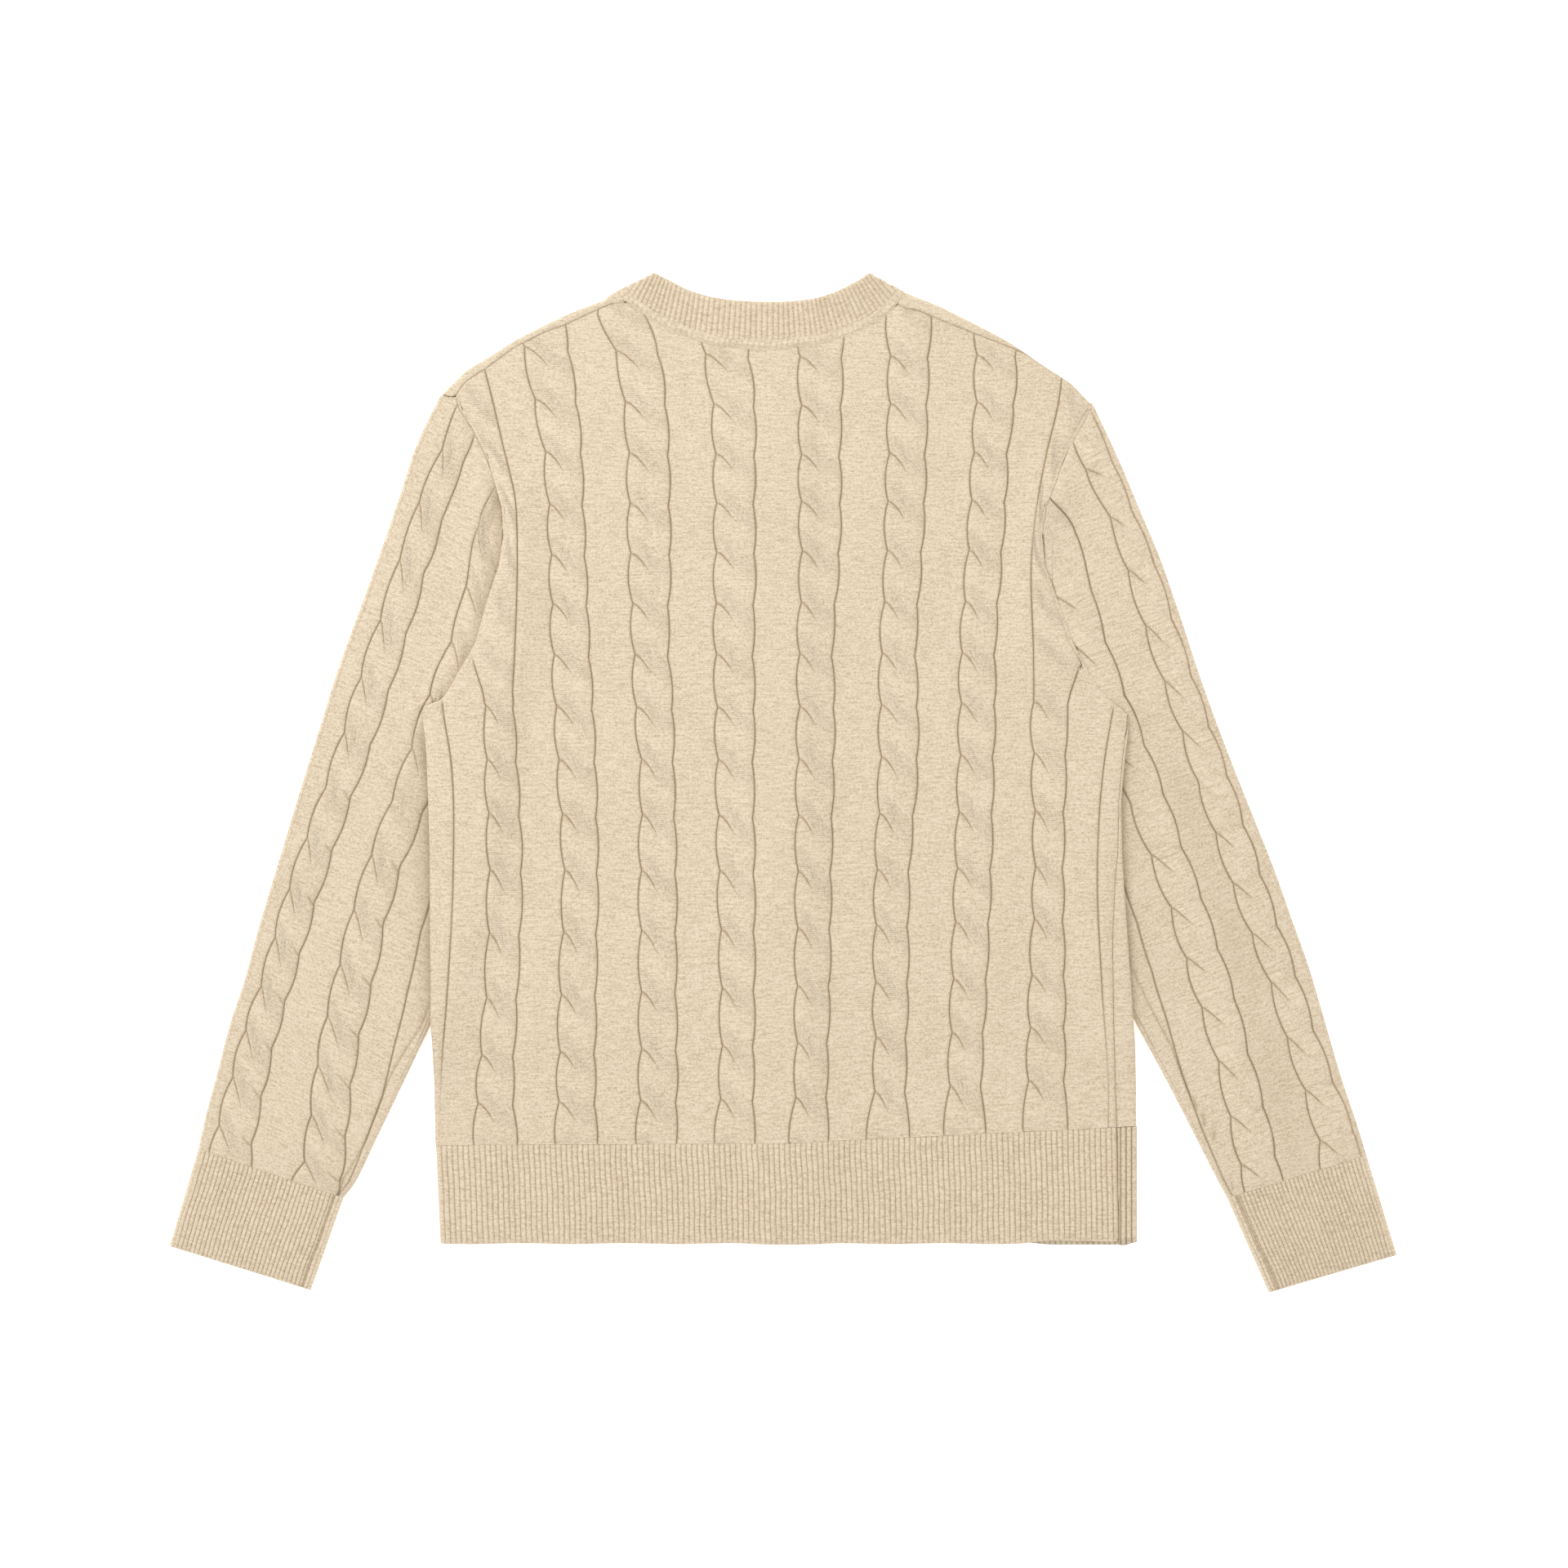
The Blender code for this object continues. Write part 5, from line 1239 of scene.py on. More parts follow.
@dataclass
class Sleeve:
    """Set-in sleeve with two cables, lying as a flattened tube partly under the body."""

    plan: BodyPlan
    cabling: Cabling
    section: TubeSection
    side: Side
    row_steps: tuple = (0.0, 1.0, 2.2, 4.2, 7.2, 11.0, 15.5, 20.5, 25.0, 28.8, 31.2, 35.0, 40.0,
                        45.5, 50.5, 55.0, 58.5, 60.6)
    cable_steps: tuple = (0.0, 0.8, 1.8, 3.4, 6.4, 11.0, 16.0)
    plain_steps: tuple = (0.0, 0.8, 2.0, 4.6, 9.0)
    unders: int = 28
    levels: np.ndarray = field(default_factory=lambda: np.arange(-1.2, 13.62, 0.02))

    def table(self) -> np.ndarray:
        """The sleeve's own rows."""
        return LEFT_SLEEVE if self.side is Side.LEFT else RIGHT_SLEEVE

    def point(self, lag: np.ndarray, share: np.ndarray) -> tuple:
        """Plan point and width of the sleeve at a crossing number and a share across it.

        Args:
            lag: Crossing number of the points.
            share: Share across the sleeve, 0 at its outer fold.

        Returns:
            X, y and the sleeve's width there.
        """
        rows = self.table()
        at = [np.interp(lag, self.levels, smooth_curve(rows[:, 0], rows[:, k], self.levels))
              for k in range(1, 5)]
        wide = np.hypot(at[2] - at[0], at[3] - at[1])
        return at[0] + (at[2] - at[0]) * share, at[1] + (at[3] - at[1]) * share, wide

    def skew(self, q: np.ndarray, lag: np.ndarray) -> np.ndarray:
        """How far a crossing travels down at q; near the right shoulder it lies flatter."""
        lean = 0.46 if self.side is Side.LEFT else 0.22 + 0.20 * ease(lag / 3.5)
        return lean * np.clip(q + 1.0, 0.0, 1.05) ** 1.5 + 0.20 * np.clip(q - 0.05, 0.0, 2.0)

    def rise(self, px: np.ndarray, py: np.ndarray) -> np.ndarray:
        """How far the sleeve's upper layer climbs to the armhole's edge, in metres.

        Args:
            px: X of the points.
            py: Y of the points.

        Returns:
            The lift in metres.
        """
        index = 1 if self.side is Side.LEFT else 2
        edge = column(EDGES, index, py)
        away = edge - px if self.side is Side.LEFT else px - edge
        start, length = (585.0, 45.0) if self.side is Side.LEFT else (640.0, 30.0)
        under = 0.0027 * ease((py - start) / length)
        height = np.maximum(self.plan.side_rise(edge, py) - under, 0.0)
        near = np.where(away > 0.0, 1.0 - ease(away / 42.0), 1.0 - ease(-away / 12.0))
        return height * near * ease((895.0 - py) / 50.0)

    def head(self) -> np.ndarray:
        """Share across and crossing number where the armhole cuts the sleeve.

        Returns:
            A table of shares and crossing numbers.
        """
        shares = np.linspace(0.0, 1.0, 101)
        lags = np.linspace(-1.2, 1.0, 441)
        px, py, _ = self.point(lags[None, :], shares[:, None])
        if self.side is Side.RIGHT:
            clear = px >= column(EDGES, 2, py) + 0.12
        else:
            clear = (py >= column(LEFT_HEAD, 1, px) + 0.12) & (px <= column(EDGES, 1, py) - 0.12)
        first = np.where(clear.any(axis=1), clear.argmax(axis=1), len(lags) - 1)
        return np.stack((shares, lags[first]), axis=1)

    def columns(self) -> list:
        """Part, band and value of every column round the tube.

        Returns:
            A list of them, first and last on one line.
        """
        round_trip = [("outer", -1, angle) for angle in self.section.angles]
        kinds = (("flat", 0, 30.0), ("cable", 1, 44.0), ("flat", 2, 32.0), ("cable", 3, 40.0),
                 ("flat", 4, 30.0), ("flat", 5, 16.0))
        for kind, band, wide in kinds:
            steps = self.cable_steps if kind == "cable" else self.plain_steps
            shares = np.linspace(0.0, 1.0, 19)[:-1] if band == 5 else graded(wide, steps)
            round_trip += [(kind, band, float(share)) for share in shares]
        round_trip = [item for item in round_trip if item != ("flat", 0, 0.0)]
        round_trip += [("inner", 6, angle) for angle in self.section.angles[::-1]]
        missing = -(len(round_trip) + self.unders) % 4
        stops = np.linspace(1.0, 0.0, self.unders + missing + 2)[1:-1]
        round_trip += [("under", 7, float(stop)) for stop in stops]
        return round_trip + [("outer", -1, self.section.angles[0])]

    def relief(self) -> Relief:
        """Points, stitches and shade of the sleeve.

        Returns:
            The grids of the sleeve.
        """
        columns = self.columns()
        part = np.array([item[0] for item in columns])[None, :]
        band = np.array([item[1] for item in columns])
        value = np.array([item[2] for item in columns])[None, :]
        cable = part == "cable"
        flat = part == "flat"
        share = np.where(cable | flat, value, 0.0)
        mirror = self.side is Side.RIGHT
        q = (1.0 - 2.0 * share) if mirror else (2.0 * share - 1.0)
        lags = [-2.6] + [n + step / CROSSING for n in range(-2, 14) for step in self.row_steps
                         if -1.9 < n + step / CROSSING < 13.58] + [14.6]
        lags = padded_count(lags, 4)
        count = len(lags)
        order = np.arange(count)[:, None]
        lag = np.array(lags)[:, None]
        full = self.skew(np.array(1.0), lag)
        between = full * (share if mirror else 1.0 - share)
        lag = lag + np.where(cable, self.skew(q, lag), np.where(
            np.isin(band, (2, 4))[None, :], between, full if mirror else 0.0))
        lag = np.minimum(lag, CUFF_CROSSING - 0.0008 * (count - 1 - order))
        head = self.head()
        rim = MID_Z / GRID
        across = np.full(lag.shape, 0.5)
        for _ in range(6):
            here = np.maximum(lag, column(head, 1, across) + 0.0008 * order)
            _, _, wide = self.point(here, across)
            lines = self._lines(here, wide, rim)
            start, end = beside(lines, np.clip(band, 0, 5))
            out_fold, out_z = self.section.fold(value, MID_Z)
            core_fold, core_z = self.section.fold(value, MID_Z - WALL)
            turned = out_fold / GRID / wide
            under = rim / wide + (1.0 - 2.0 * rim / wide) * value
            on_top = start + (end - start) * share
            across = np.where(part == "outer", turned, np.where(
                part == "inner", 1.0 - turned, np.where(part == "under", under, on_top)))
        px, py, wide = self.point(here, across)
        core = core_fold / GRID / wide
        core_across = np.where(part == "outer", core, np.where(part == "inner", 1.0 - core, across))
        core_x, core_y, _ = self.point(here, core_across)
        height, shade, wale = self._dress(here, across, wide, start, end, share, q, cable, flat,
                                          band)
        fold = (part == "outer") | (part == "inner")
        under = part == "under"
        z = np.where(fold, out_z, np.where(under, height, BACK_Z + WALL + height))
        core_z = np.where(fold, core_z, np.where(under, WALL, BACK_Z))
        rise = self.rise(px, py)
        z = z + rise * np.clip((z - WALL) / BACK_Z, 0.0, 1.0)
        core_z = core_z + rise * np.clip((core_z - WALL) / (BACK_Z - WALL), 0.0, 1.0)
        return Relief(to_metres(px, py, z), to_metres(core_x, core_y, core_z), wale,
                      here * COURSES_EACH, shade)

    def _lines(self, here: np.ndarray, wide: np.ndarray, rim: float) -> np.ndarray:
        """Shares across of the sleeve's edges and grooves.

        Args:
            here: Crossing number of the points.
            wide: Width of the sleeve there.
            rim: Reach of the folds, in grid steps.

        Returns:
            The lines' shares in the last axis.
        """
        rows = self.table()
        phase = here % 1.0
        crossed = -BULGE * np.sin(np.pi * phase) ** 0.8 / wide
        late = 0.09 if self.side is Side.LEFT else 0.04
        other = 3.7 * np.sin(np.pi * ((phase - late) % 1.0)) / wide
        crossed = crossed * (0.6 + 0.4 * ease(here / 4.0))
        other = other * (0.6 + 0.4 * ease(here / 4.0))
        swings = (crossed, other, crossed, other, 0.0 * wide)
        if self.side is Side.RIGHT:
            swings = (-other, -crossed, -other, -crossed, 0.0 * wide)
        lines = [rim / wide]
        for k, swing in enumerate(swings):
            lines.append(column(rows, 5 + k, here) + swing)
        lines.append(1.0 - rim / wide)
        held = np.stack(lines, axis=-1)
        edge = rim / wide
        for k in range(1, 6):
            held[..., k] = np.maximum(held[..., k], np.maximum(edge * (1.0 + 0.25 * k),
                                                               held[..., k - 1] + 0.012))
        for k in range(5, 0, -1):
            held[..., k] = np.minimum(held[..., k], np.minimum(1.0 - edge * (1.0 + 0.25 * (6 - k)),
                                                               held[..., k + 1] - 0.012))
        return held

    def _dress(self, here: np.ndarray, across: np.ndarray, wide: np.ndarray, start: np.ndarray,
               end: np.ndarray, share: np.ndarray, q: np.ndarray,
               cable: np.ndarray, flat: np.ndarray, band: np.ndarray) -> tuple:
        """Height, shade and wale of every point.

        Args:
            here: Crossing number of the points.
            across: Share across the sleeve.
            wide: Width of the sleeve there.
            start: Share of the line at the band's left.
            end: Share of the line at its right.
            share: Share across the band.
            q: Place across a cable, -1 where its strands cross.
            cable: Whether a column lies on a cable.
            flat: Whether it lies on plain knit.
            band: Band number of each column.

        Returns:
            Heights, shades and wales.
        """
        begin, stop = (across - start) * wide, (end - across) * wide
        mirror = self.side is Side.RIGHT
        width = (end - start) * wide
        free = ease((width - 6.0) / 18.0)
        lag = here
        for _ in range(3):
            lag = here - self.skew(q, lag)
        rope, rope_shade = self.cabling.cable(q, lag, stop if mirror else begin,
                                              begin if mirror else stop, free,
                                              (0.3 if mirror else 1.0) * ease((here - 3.0) / 5.0))
        near = np.minimum(np.where(band == 0, 99.0, begin), np.where(band == 5, 99.0, stop))
        smooth, smooth_shade = self.cabling.plain(near)
        height = np.where(cable, rope * free, np.where(flat, smooth, 0.0))
        open_knit = ease((width - 2.0) / 8.0)
        # Painted shade in the grooves and cable crossings, fainter where the knit is squeezed.
        shade = np.where(cable, rope_shade * (0.3 + 0.7 * free),
                         np.where(flat, smooth_shade * (0.35 + 0.65 * open_knit), 0.0))
        # Painted shade on the right sleeve's plain band, which lies lower between its cables.
        if mirror:
            lower_band_shade = 0.13 + 0.05 * np.sin(here * 2.3)
            lower_band_shade = lower_band_shade * ease((here - 3.5) / 3.0) * np.sin(np.pi * np.clip(share, 0.0, 1.0)) ** 0.5
            shade = np.where(band == 2, np.maximum(shade, lower_band_shade), shade)
        hidden = 1.0 - ease((here - 1.5) / 0.8)
        under_body = (band == 3) & (share > 0.5) | (band == 4) | (band == 5)
        tucked = np.where(under_body, hidden, 0.0)
        height = height * (1.0 - tucked)
        shade = shade * (1.0 - tucked)
        start_lag = column(self.head(), 1, across)
        fresh = (here - start_lag) * CROSSING
        height = height * (0.3 + 0.7 * ease(fresh / 12.0))
        # Dark line where the sleeve head joins the armhole: partly the seam's own darker joint,
        # partly painted shade in its valley.
        head_seam_shade = 0.10 if mirror else 0.30
        shade = np.maximum(shade * ease(fresh / 2.0), head_seam_shade * bell(fresh / 1.2) * (cable | flat))
        height = height - 0.0002 * bell(fresh / 1.8) * (cable | flat)
        to_cuff = (CUFF_CROSSING - here) * CROSSING
        height = sewn_down(height, to_cuff)
        turn = np.floor(lag) + ease((lag % 1.0 - 0.5) / 0.5)
        wale = np.where(cable, WALES * (share - 0.5 * turn), across * wide / 3.0)
        px, py, _ = self.point(here, across)
        seam = line_distance(px, py, RIGHT_UNDERARM if mirror else LEFT_UNDERARM)
        # Underarm seam: a groove with a dark line, partly the seam's own darker joint, partly
        # painted shade in the groove.
        height = height - 0.0008 * bell(seam / 1.8) * (cable | flat)
        shade = np.maximum(shade, 0.60 * bell(seam / 1.3) * ease(to_cuff / 20.0) * (cable | flat))
        # Painted shadow that the body's raised edge would cast on the sleeve.
        shadow = self._beside_body(px, py)
        return height, np.maximum(shade, shadow * (cable | flat)), wale + 40.0 * band

    def _beside_body(self, px: np.ndarray, py: np.ndarray) -> np.ndarray:
        """Soft painted shadow on the sleeve beside the body's raised edge.

        Args:
            px: X of the points.
            py: Y of the points.

        Returns:
            The shade, from 0 to 1.
        """
        if self.side is Side.LEFT:
            away = np.clip(column(EDGES, 1, py) - px, 0.0, 99.0)
            fading = ease((py - 565.0) / 45.0) * ease((ARMHOLE_Y - py) / 40.0)
            upper = 0.50 * bell(away / 13.0) * fading * (1.0 - 0.15 * ease((py - 740.0) / 60.0))
            lower = 0.42 * np.exp(-away / 13.0)
        else:
            away = np.clip(px - column(EDGES, 2, py), 0.0, 99.0)
            upper = 0.0 * away
            lower = 0.22 * np.exp(-away / 9.0)
        return np.maximum(upper, lower * ease((py - 865.0) / 50.0) * ease((1340.0 - py) / 200.0))


@dataclass
class Cuff:
    """Ribbed cuff, a flattened tube like its sleeve."""

    ribbing: Ribbing
    section: TubeSection
    side: Side
    ribs: int = 32
    rows: int = 24
    length: float = 120.0

    def relief(self) -> Relief:
        """Points, stitches and shade of the cuff.

        Returns:
            The grids of the cuff.
        """
        corners = np.array(LEFT_CUFF if self.side is Side.LEFT else RIGHT_CUFF, dtype=float)
        down = np.linspace(0.0, 1.0, self.rows + 1)[:, None]
        step = (corners[2] - corners[0]) / np.linalg.norm(corners[2] - corners[0]) * 0.15
        outer, inner = ([(top + step)[k] + (end - top - step)[k] * down for k in (0, 1)]
                        for top, end in (corners[[0, 2]], corners[[1, 3]]))
        wide = np.hypot(inner[0] - outer[0], inner[1] - outer[1])
        rim = MID_Z / GRID
        tops = self.ribbing.stations(self.ribs)
        unders = self.ribbing.stations(self.ribs)[::-1][1:-1]
        folds = self.section.angles
        part = (["outer"] * len(folds) + ["top"] * (len(tops) - 2) + ["inner"] * len(folds)
                + ["under"] * len(unders) + ["outer"])
        value = list(folds) + list(tops[1:-1]) + list(folds[::-1]) + list(unders) + [folds[0]]
        spare = (len(part) - 1) % 4
        part = np.array(part[:len(part) - 1 - spare] + part[-1:])[None, :]
        value = np.array(value[:len(value) - 1 - spare] + value[-1:])[None, :]
        out_fold, out_z = self.section.fold(value, MID_Z)
        core_fold, core_z = self.section.fold(value, MID_Z - WALL)
        level = rim + (wide - 2.0 * rim) * value / self.ribs
        at = np.where(part == "outer", out_fold / GRID, np.where(
            part == "inner", wide - out_fold / GRID, level))
        core = np.where(part == "outer", core_fold / GRID, np.where(
            part == "inner", wide - core_fold / GRID, level))
        ribbed = (part == "top") | (part == "under")
        height, shade = self.ribbing.relief(value)
        depth, _ = self.ribbing.pressed(value)
        foot = (1.0 - down) * self.length
        height = height * (0.5 + 0.5 * ease(foot / 6.0)) - 0.0008 * bell(foot / 2.2)
        z = np.where(part == "top", BACK_Z + WALL + height, np.where(part == "under", depth, out_z))
        core_z = np.where(part == "top", BACK_Z, np.where(part == "under", WALL, core_z))
        held = ease((1.0 - down) / 0.1) * ease(down / 0.1)
        sway = np.where(ribbed, wander(value, down * self.length) * 0.8, 0.0) * held
        spots = []
        for where, height_at in ((at + sway, z), (core, core_z)):
            px = outer[0] + (inner[0] - outer[0]) * where / wide
            py = outer[1] + (inner[1] - outer[1]) * where / wide
            spots.append(to_metres(px, py, height_at))
        # Painted shade in the rib valleys; near the inner edge a dark seam line, partly the seam's
        # own darker joint, partly painted shade in its groove.
        seam = bell((wide - at - 12.0) / 1.4) * (part == "top")
        shade = np.maximum(np.where(ribbed, shade, 0.0), 0.8 * seam)
        return Relief(spots[0], spots[1], 2.0 * value * ribbed, 52.0 * down, shade)


@dataclass
class Neckband:
    """Ribbed neckband in one strip: left front, fold, back, fold, right front."""

    plan: BodyPlan
    ribbing: Ribbing
    back_ribs: int = 60
    front_ribs: int = 36
    lip: tuple = (-0.10, -0.05)
    across: tuple = (0.0, 0.03, 0.07, 0.12, 0.17, 0.22, 0.3, 0.4, 0.5, 0.6, 0.7, 0.8, 0.88, 0.94,
                     0.98, 1.0)

    def _inset(self, found: np.ndarray) -> np.ndarray:
        """Seam and opening points with the seam drawn in by a hair.

        Args:
            found: Rows of x and y on the seam, then on the opening; changed here.

        Returns:
            The same rows.
        """
        inset = found[:, 2:] - found[:, :2]
        found[:, :2] += inset / np.linalg.norm(inset, axis=1)[:, None] * 0.08
        return found

    def relief(self) -> Relief:
        """Points, stitches and shade of the band.

        Returns:
            The grids of the band.
        """
        steps = len(self.ribbing.phases)
        front = self._inset(along(NECK_FRONT, self.front_ribs * steps // 2 + 1))
        back = self._inset(along(NECK_BACK, self.back_ribs * steps + 1))
        over = self._inset(self.plan.right_neck(len(front)))
        skip = np.argmax(np.hypot(*(front - front[0])[:, :2].T) > 24.0)
        front, over = front[skip:], over[skip:]
        rows = np.concatenate((front[::-1], back, over))
        layer = np.repeat((0, 1, 0), (len(front), len(back), len(over)))
        rib = self.ribbing.stations(self.back_ribs)
        phase = np.concatenate((-(np.arange(len(front)) + 4.0)[::-1] * 2.0 / steps, rib,
                                self.back_ribs + (np.arange(len(over)) + 4.0) * 2.0 / steps))
        keep = padded_count(list(range(len(phase))), 4)
        return self._lay(rows[keep], layer[keep], phase[keep])

    def _roll(self, px: np.ndarray, py: np.ndarray, radius: float | np.ndarray) -> tuple:
        """Plan points and height of the flat-laid back part after its two folds.

        Args:
            px: X of the points laid out flat.
            py: Y of the points.
            radius: Distance of each point's face from the middle of the fold.

        Returns:
            Their x, y and height once folded, and how far each is turned, from 0 to 1.
        """
        edge, core = MID_Z / GRID, (MID_Z - WALL / 2) / GRID
        x, y = px.copy(), py.copy()
        turned = np.zeros(px.shape)
        for (x0, y0, x1, y1), sign in zip(NECK_FOLDS, (1.0, -1.0)):
            length = math.hypot(x1 - x0, y1 - y0)
            out_x, out_y = sign * (y1 - y0) / length, -sign * (x1 - x0) / length
            past = (px - x0) * out_x + (py - y0) * out_y
            angle = np.clip((past + edge) / core, 0.0, math.pi)
            rest = np.maximum(past + edge - core * math.pi, 0.0)
            moved = np.where(angle > 0.0, -edge + np.sin(angle) * radius / GRID - rest, past)
            x = x + out_x * (moved - past)
            y = y + out_y * (moved - past)
            turned = np.maximum(turned, angle / math.pi)
        return x, y, MID_Z + radius * np.cos(turned * math.pi), turned

    def _lay(self, rows: np.ndarray, layer: np.ndarray, phase: np.ndarray) -> Relief:
        """Walls of the band from its rows, layers and rib phases.

        Args:
            rows: Seam and opening points of each rib station.
            layer: 1 on the back, 0 on the fronts.
            phase: Rib number of each station.

        Returns:
            The grids of the band.
        """
        on_back = (layer == 1)[:, None]
        part = np.array(self.lip + self.across)[None, :]
        part = np.where(on_back & (part < 0.0), 0.02 * part, part)
        px = rows[:, :1] + (rows[:, 2:3] - rows[:, :1]) * part
        py = rows[:, 1:2] + (rows[:, 3:4] - rows[:, 1:2]) * part
        phase = phase[:, None]
        ridge, shade = self.ribbing.relief(phase)
        depth, _ = self.ribbing.pressed(phase)
        ribbed = ease((part - 0.15) / 0.06) * (0.5 + 0.5 * ease((1.0 - part) / 0.08))
        links = np.sin(2.0 * np.pi * phase + 9.0 * part)
        chain = bell((part - 0.09) / 0.05)
        face = ridge * ribbed + 0.00035 * links * chain
        face = face - 0.0005 * bell(part / 0.03) - 0.0008 * bell((1.0 - part) / 0.03)
        *_, turned = self._roll(px, py, MID_Z)
        under = np.where(on_back, ease((turned - 0.4) / 0.4), 1.0)
        face = face * (1.0 - under) - depth * ribbed * under
        spots = []
        for reach in (MID_Z + face, MID_Z - WALL):
            x, y, z, _ = self._roll(px, py, reach)
            lift = (self.plan.back_floor(x, y) - BACK_Z) * (turned < 0.001)
            low = MID_Z - reach + self.plan.front_floor(px, py) + 0.0012 * ease(-part / 0.02)
            spots.append(to_metres(np.where(on_back, x, px), np.where(on_back, y, py),
                                   np.where(on_back, z + lift, low)))
        # Dark linking seam at the band's seam edge, partly the seam's own darker joint, partly
        # painted shade in its valley; painted shade in the chain's dips and the rib valleys.
        zigzag = np.abs((2.0 * phase) % 2.0 - 1.0) * 0.03
        seam = 0.30 * bell((part - 0.012 - zigzag) / 0.016)
        shade = np.maximum(shade * ribbed * 0.9, seam)
        shade = np.maximum(shade, 0.25 * chain * (links < -0.3))
        return Relief(spots[0], spots[1], 2.0 * phase, 25.0 * part, shade)


def finished(name: str, bm: bmesh.types.BMesh) -> bpy.types.Object:
    """Turns an edit mesh into an object of the scene.

    Args:
        name: The object's name.
        bm: Its mesh, freed here.

    Returns:
        The object, at the origin.
    """
    bmesh.ops.recalc_face_normals(bm, faces=bm.faces[:])
    mesh = bpy.data.meshes.new(name)
    bm.to_mesh(mesh)
    bm.free()
    piece = bpy.data.objects.new(name, mesh)
    bpy.context.scene.collection.objects.link(piece)
    return piece


@dataclass
class ButtonBand:
    """Straight ribbed strip down a front edge."""

    plan: BodyPlan
    level: float
    ribs: int = 9
    rows: int = 96
    top_y: float = 500.0
    foot_y: float = 1522.0

    def relief(self) -> Relief:
        """Points, stitches and shade; the knit's face is underneath.

        Returns:
            The grids of the band.
        """
        phases = Ribbing().stations(self.ribs)[None, :]
        py = np.linspace(self.top_y, self.foot_y, self.rows + 1)[:, None]
        px = self.plan.axis_x(py) + BAND_HALF * (2.0 * phases / self.ribs - 1.0)
        away = np.abs(phases - np.round(phases))
        side = np.minimum(phases, self.ribs - phases)
        depth = 0.0004 * bell(away / 0.16) + 0.0004 * bell(side / 0.15)
        # Painted shade in the face's rib valleys.
        return Relief(to_metres(px, py, self.level + depth),
                      to_metres(px, py, self.level + BAND_WALL - 0.6 * depth),
                      2.0 * phases, py / ROW_STEP, 0.8 * bell(away / 0.16))


@dataclass
class Button:
    """Round sewn button with a raised rim and four holes, its face to the floor."""

    plan: BodyPlan
    row: int
    rim: float = 0.0016
    dish: float = 0.0005
    hole: float = 0.0009
    spacing: float = 0.0016
    segments: int = 48
    first_y: float = 540.0
    last_y: float = 1490.0

    def build(self, name: str) -> bpy.types.Object:
        """Turned disc with its holes cut through.

        Args:
            name: The button's name.

        Returns:
            The button, at the origin.
        """
        py = self.first_y + (self.last_y - self.first_y) * self.row / (BUTTON_ROWS - 1)
        centre = to_metres(self.plan.axis_x(py), py, 0.0)
        bm = bmesh.new()
        bmesh.ops.create_cone(bm, cap_ends=True, segments=self.segments,
                              radius1=BUTTON_RADIUS * 0.94, radius2=BUTTON_RADIUS,
                              depth=BUTTON_THICK)
        bmesh.ops.translate(bm, verts=bm.verts[:], vec=(0.0, 0.0, BUTTON_THICK / 2))
        sharp = [edge for edge in bm.edges if abs(edge.verts[0].co.z - edge.verts[1].co.z) < 1e-6]
        bmesh.ops.bevel(bm, geom=sharp, offset=0.0004, segments=3, profile=0.6, affect="EDGES")
        face = min(bm.faces, key=lambda item: item.calc_center_median().z)
        bmesh.ops.inset_individual(bm, faces=[face], thickness=self.rim, depth=0.0)
        bmesh.ops.inset_individual(bm, faces=[face], thickness=0.0004, depth=-self.dish)
        disc = finished(name, bm)
        cutter_mesh = bmesh.new()
        for turn in range(4):
            angle = math.pi / 4 + turn * math.pi / 2
            made = bmesh.ops.create_cone(cutter_mesh, cap_ends=True, segments=16, radius1=self.hole,
                                         radius2=self.hole, depth=4 * BUTTON_THICK)["verts"]
            bmesh.ops.translate(cutter_mesh, verts=made, vec=(math.cos(angle) * self.spacing,
                                                              math.sin(angle) * self.spacing, 0.0))
        cutter = finished(name + "_holes", cutter_mesh)
        cut = disc.modifiers.new("holes", "BOOLEAN")
        cut.operation = "DIFFERENCE"
        cut.object = cutter
        graph = bpy.context.evaluated_depsgraph_get()
        disc.data = bpy.data.meshes.new_from_object(disc.evaluated_get(graph))
        disc.modifiers.clear()
        bpy.data.objects.remove(cutter)
        flat = np.empty(len(disc.data.vertices) * 3, dtype=np.float32)
        disc.data.vertices.foreach_get("co", flat)
        moved = (flat.reshape(-1, 3) + centre).astype(np.float32)
        disc.data.vertices.foreach_set("co", moved.ravel())
        disc.data.name = name
        return disc


@dataclass
class Wiring:
    """Short hand for a node tree."""

    tree: bpy.types.NodeTree

    def node(self, kind: str, inputs: dict | None = None, **settings: object) -> bpy.types.Node:
        """Adds a node.

        Args:
            kind: Its type.
            inputs: Socket name or number to a value or to another node's output.
            settings: Its own properties.

        Returns:
            The node.
        """
        made = self.tree.nodes.new(kind)
        for name, value in settings.items():
            setattr(made, name, value)
        for key, value in (inputs or {}).items():
            if isinstance(value, bpy.types.NodeSocket):
                self.tree.links.new(value, made.inputs[key])
            else:
                made.inputs[key].default_value = value
        return made

    def math(self, operation: str, *values: object) -> bpy.types.NodeSocket:
        """Adds a math node and returns its output."""
        made = self.node("ShaderNodeMath", dict(enumerate(values)), operation=operation)
        return made.outputs[0]


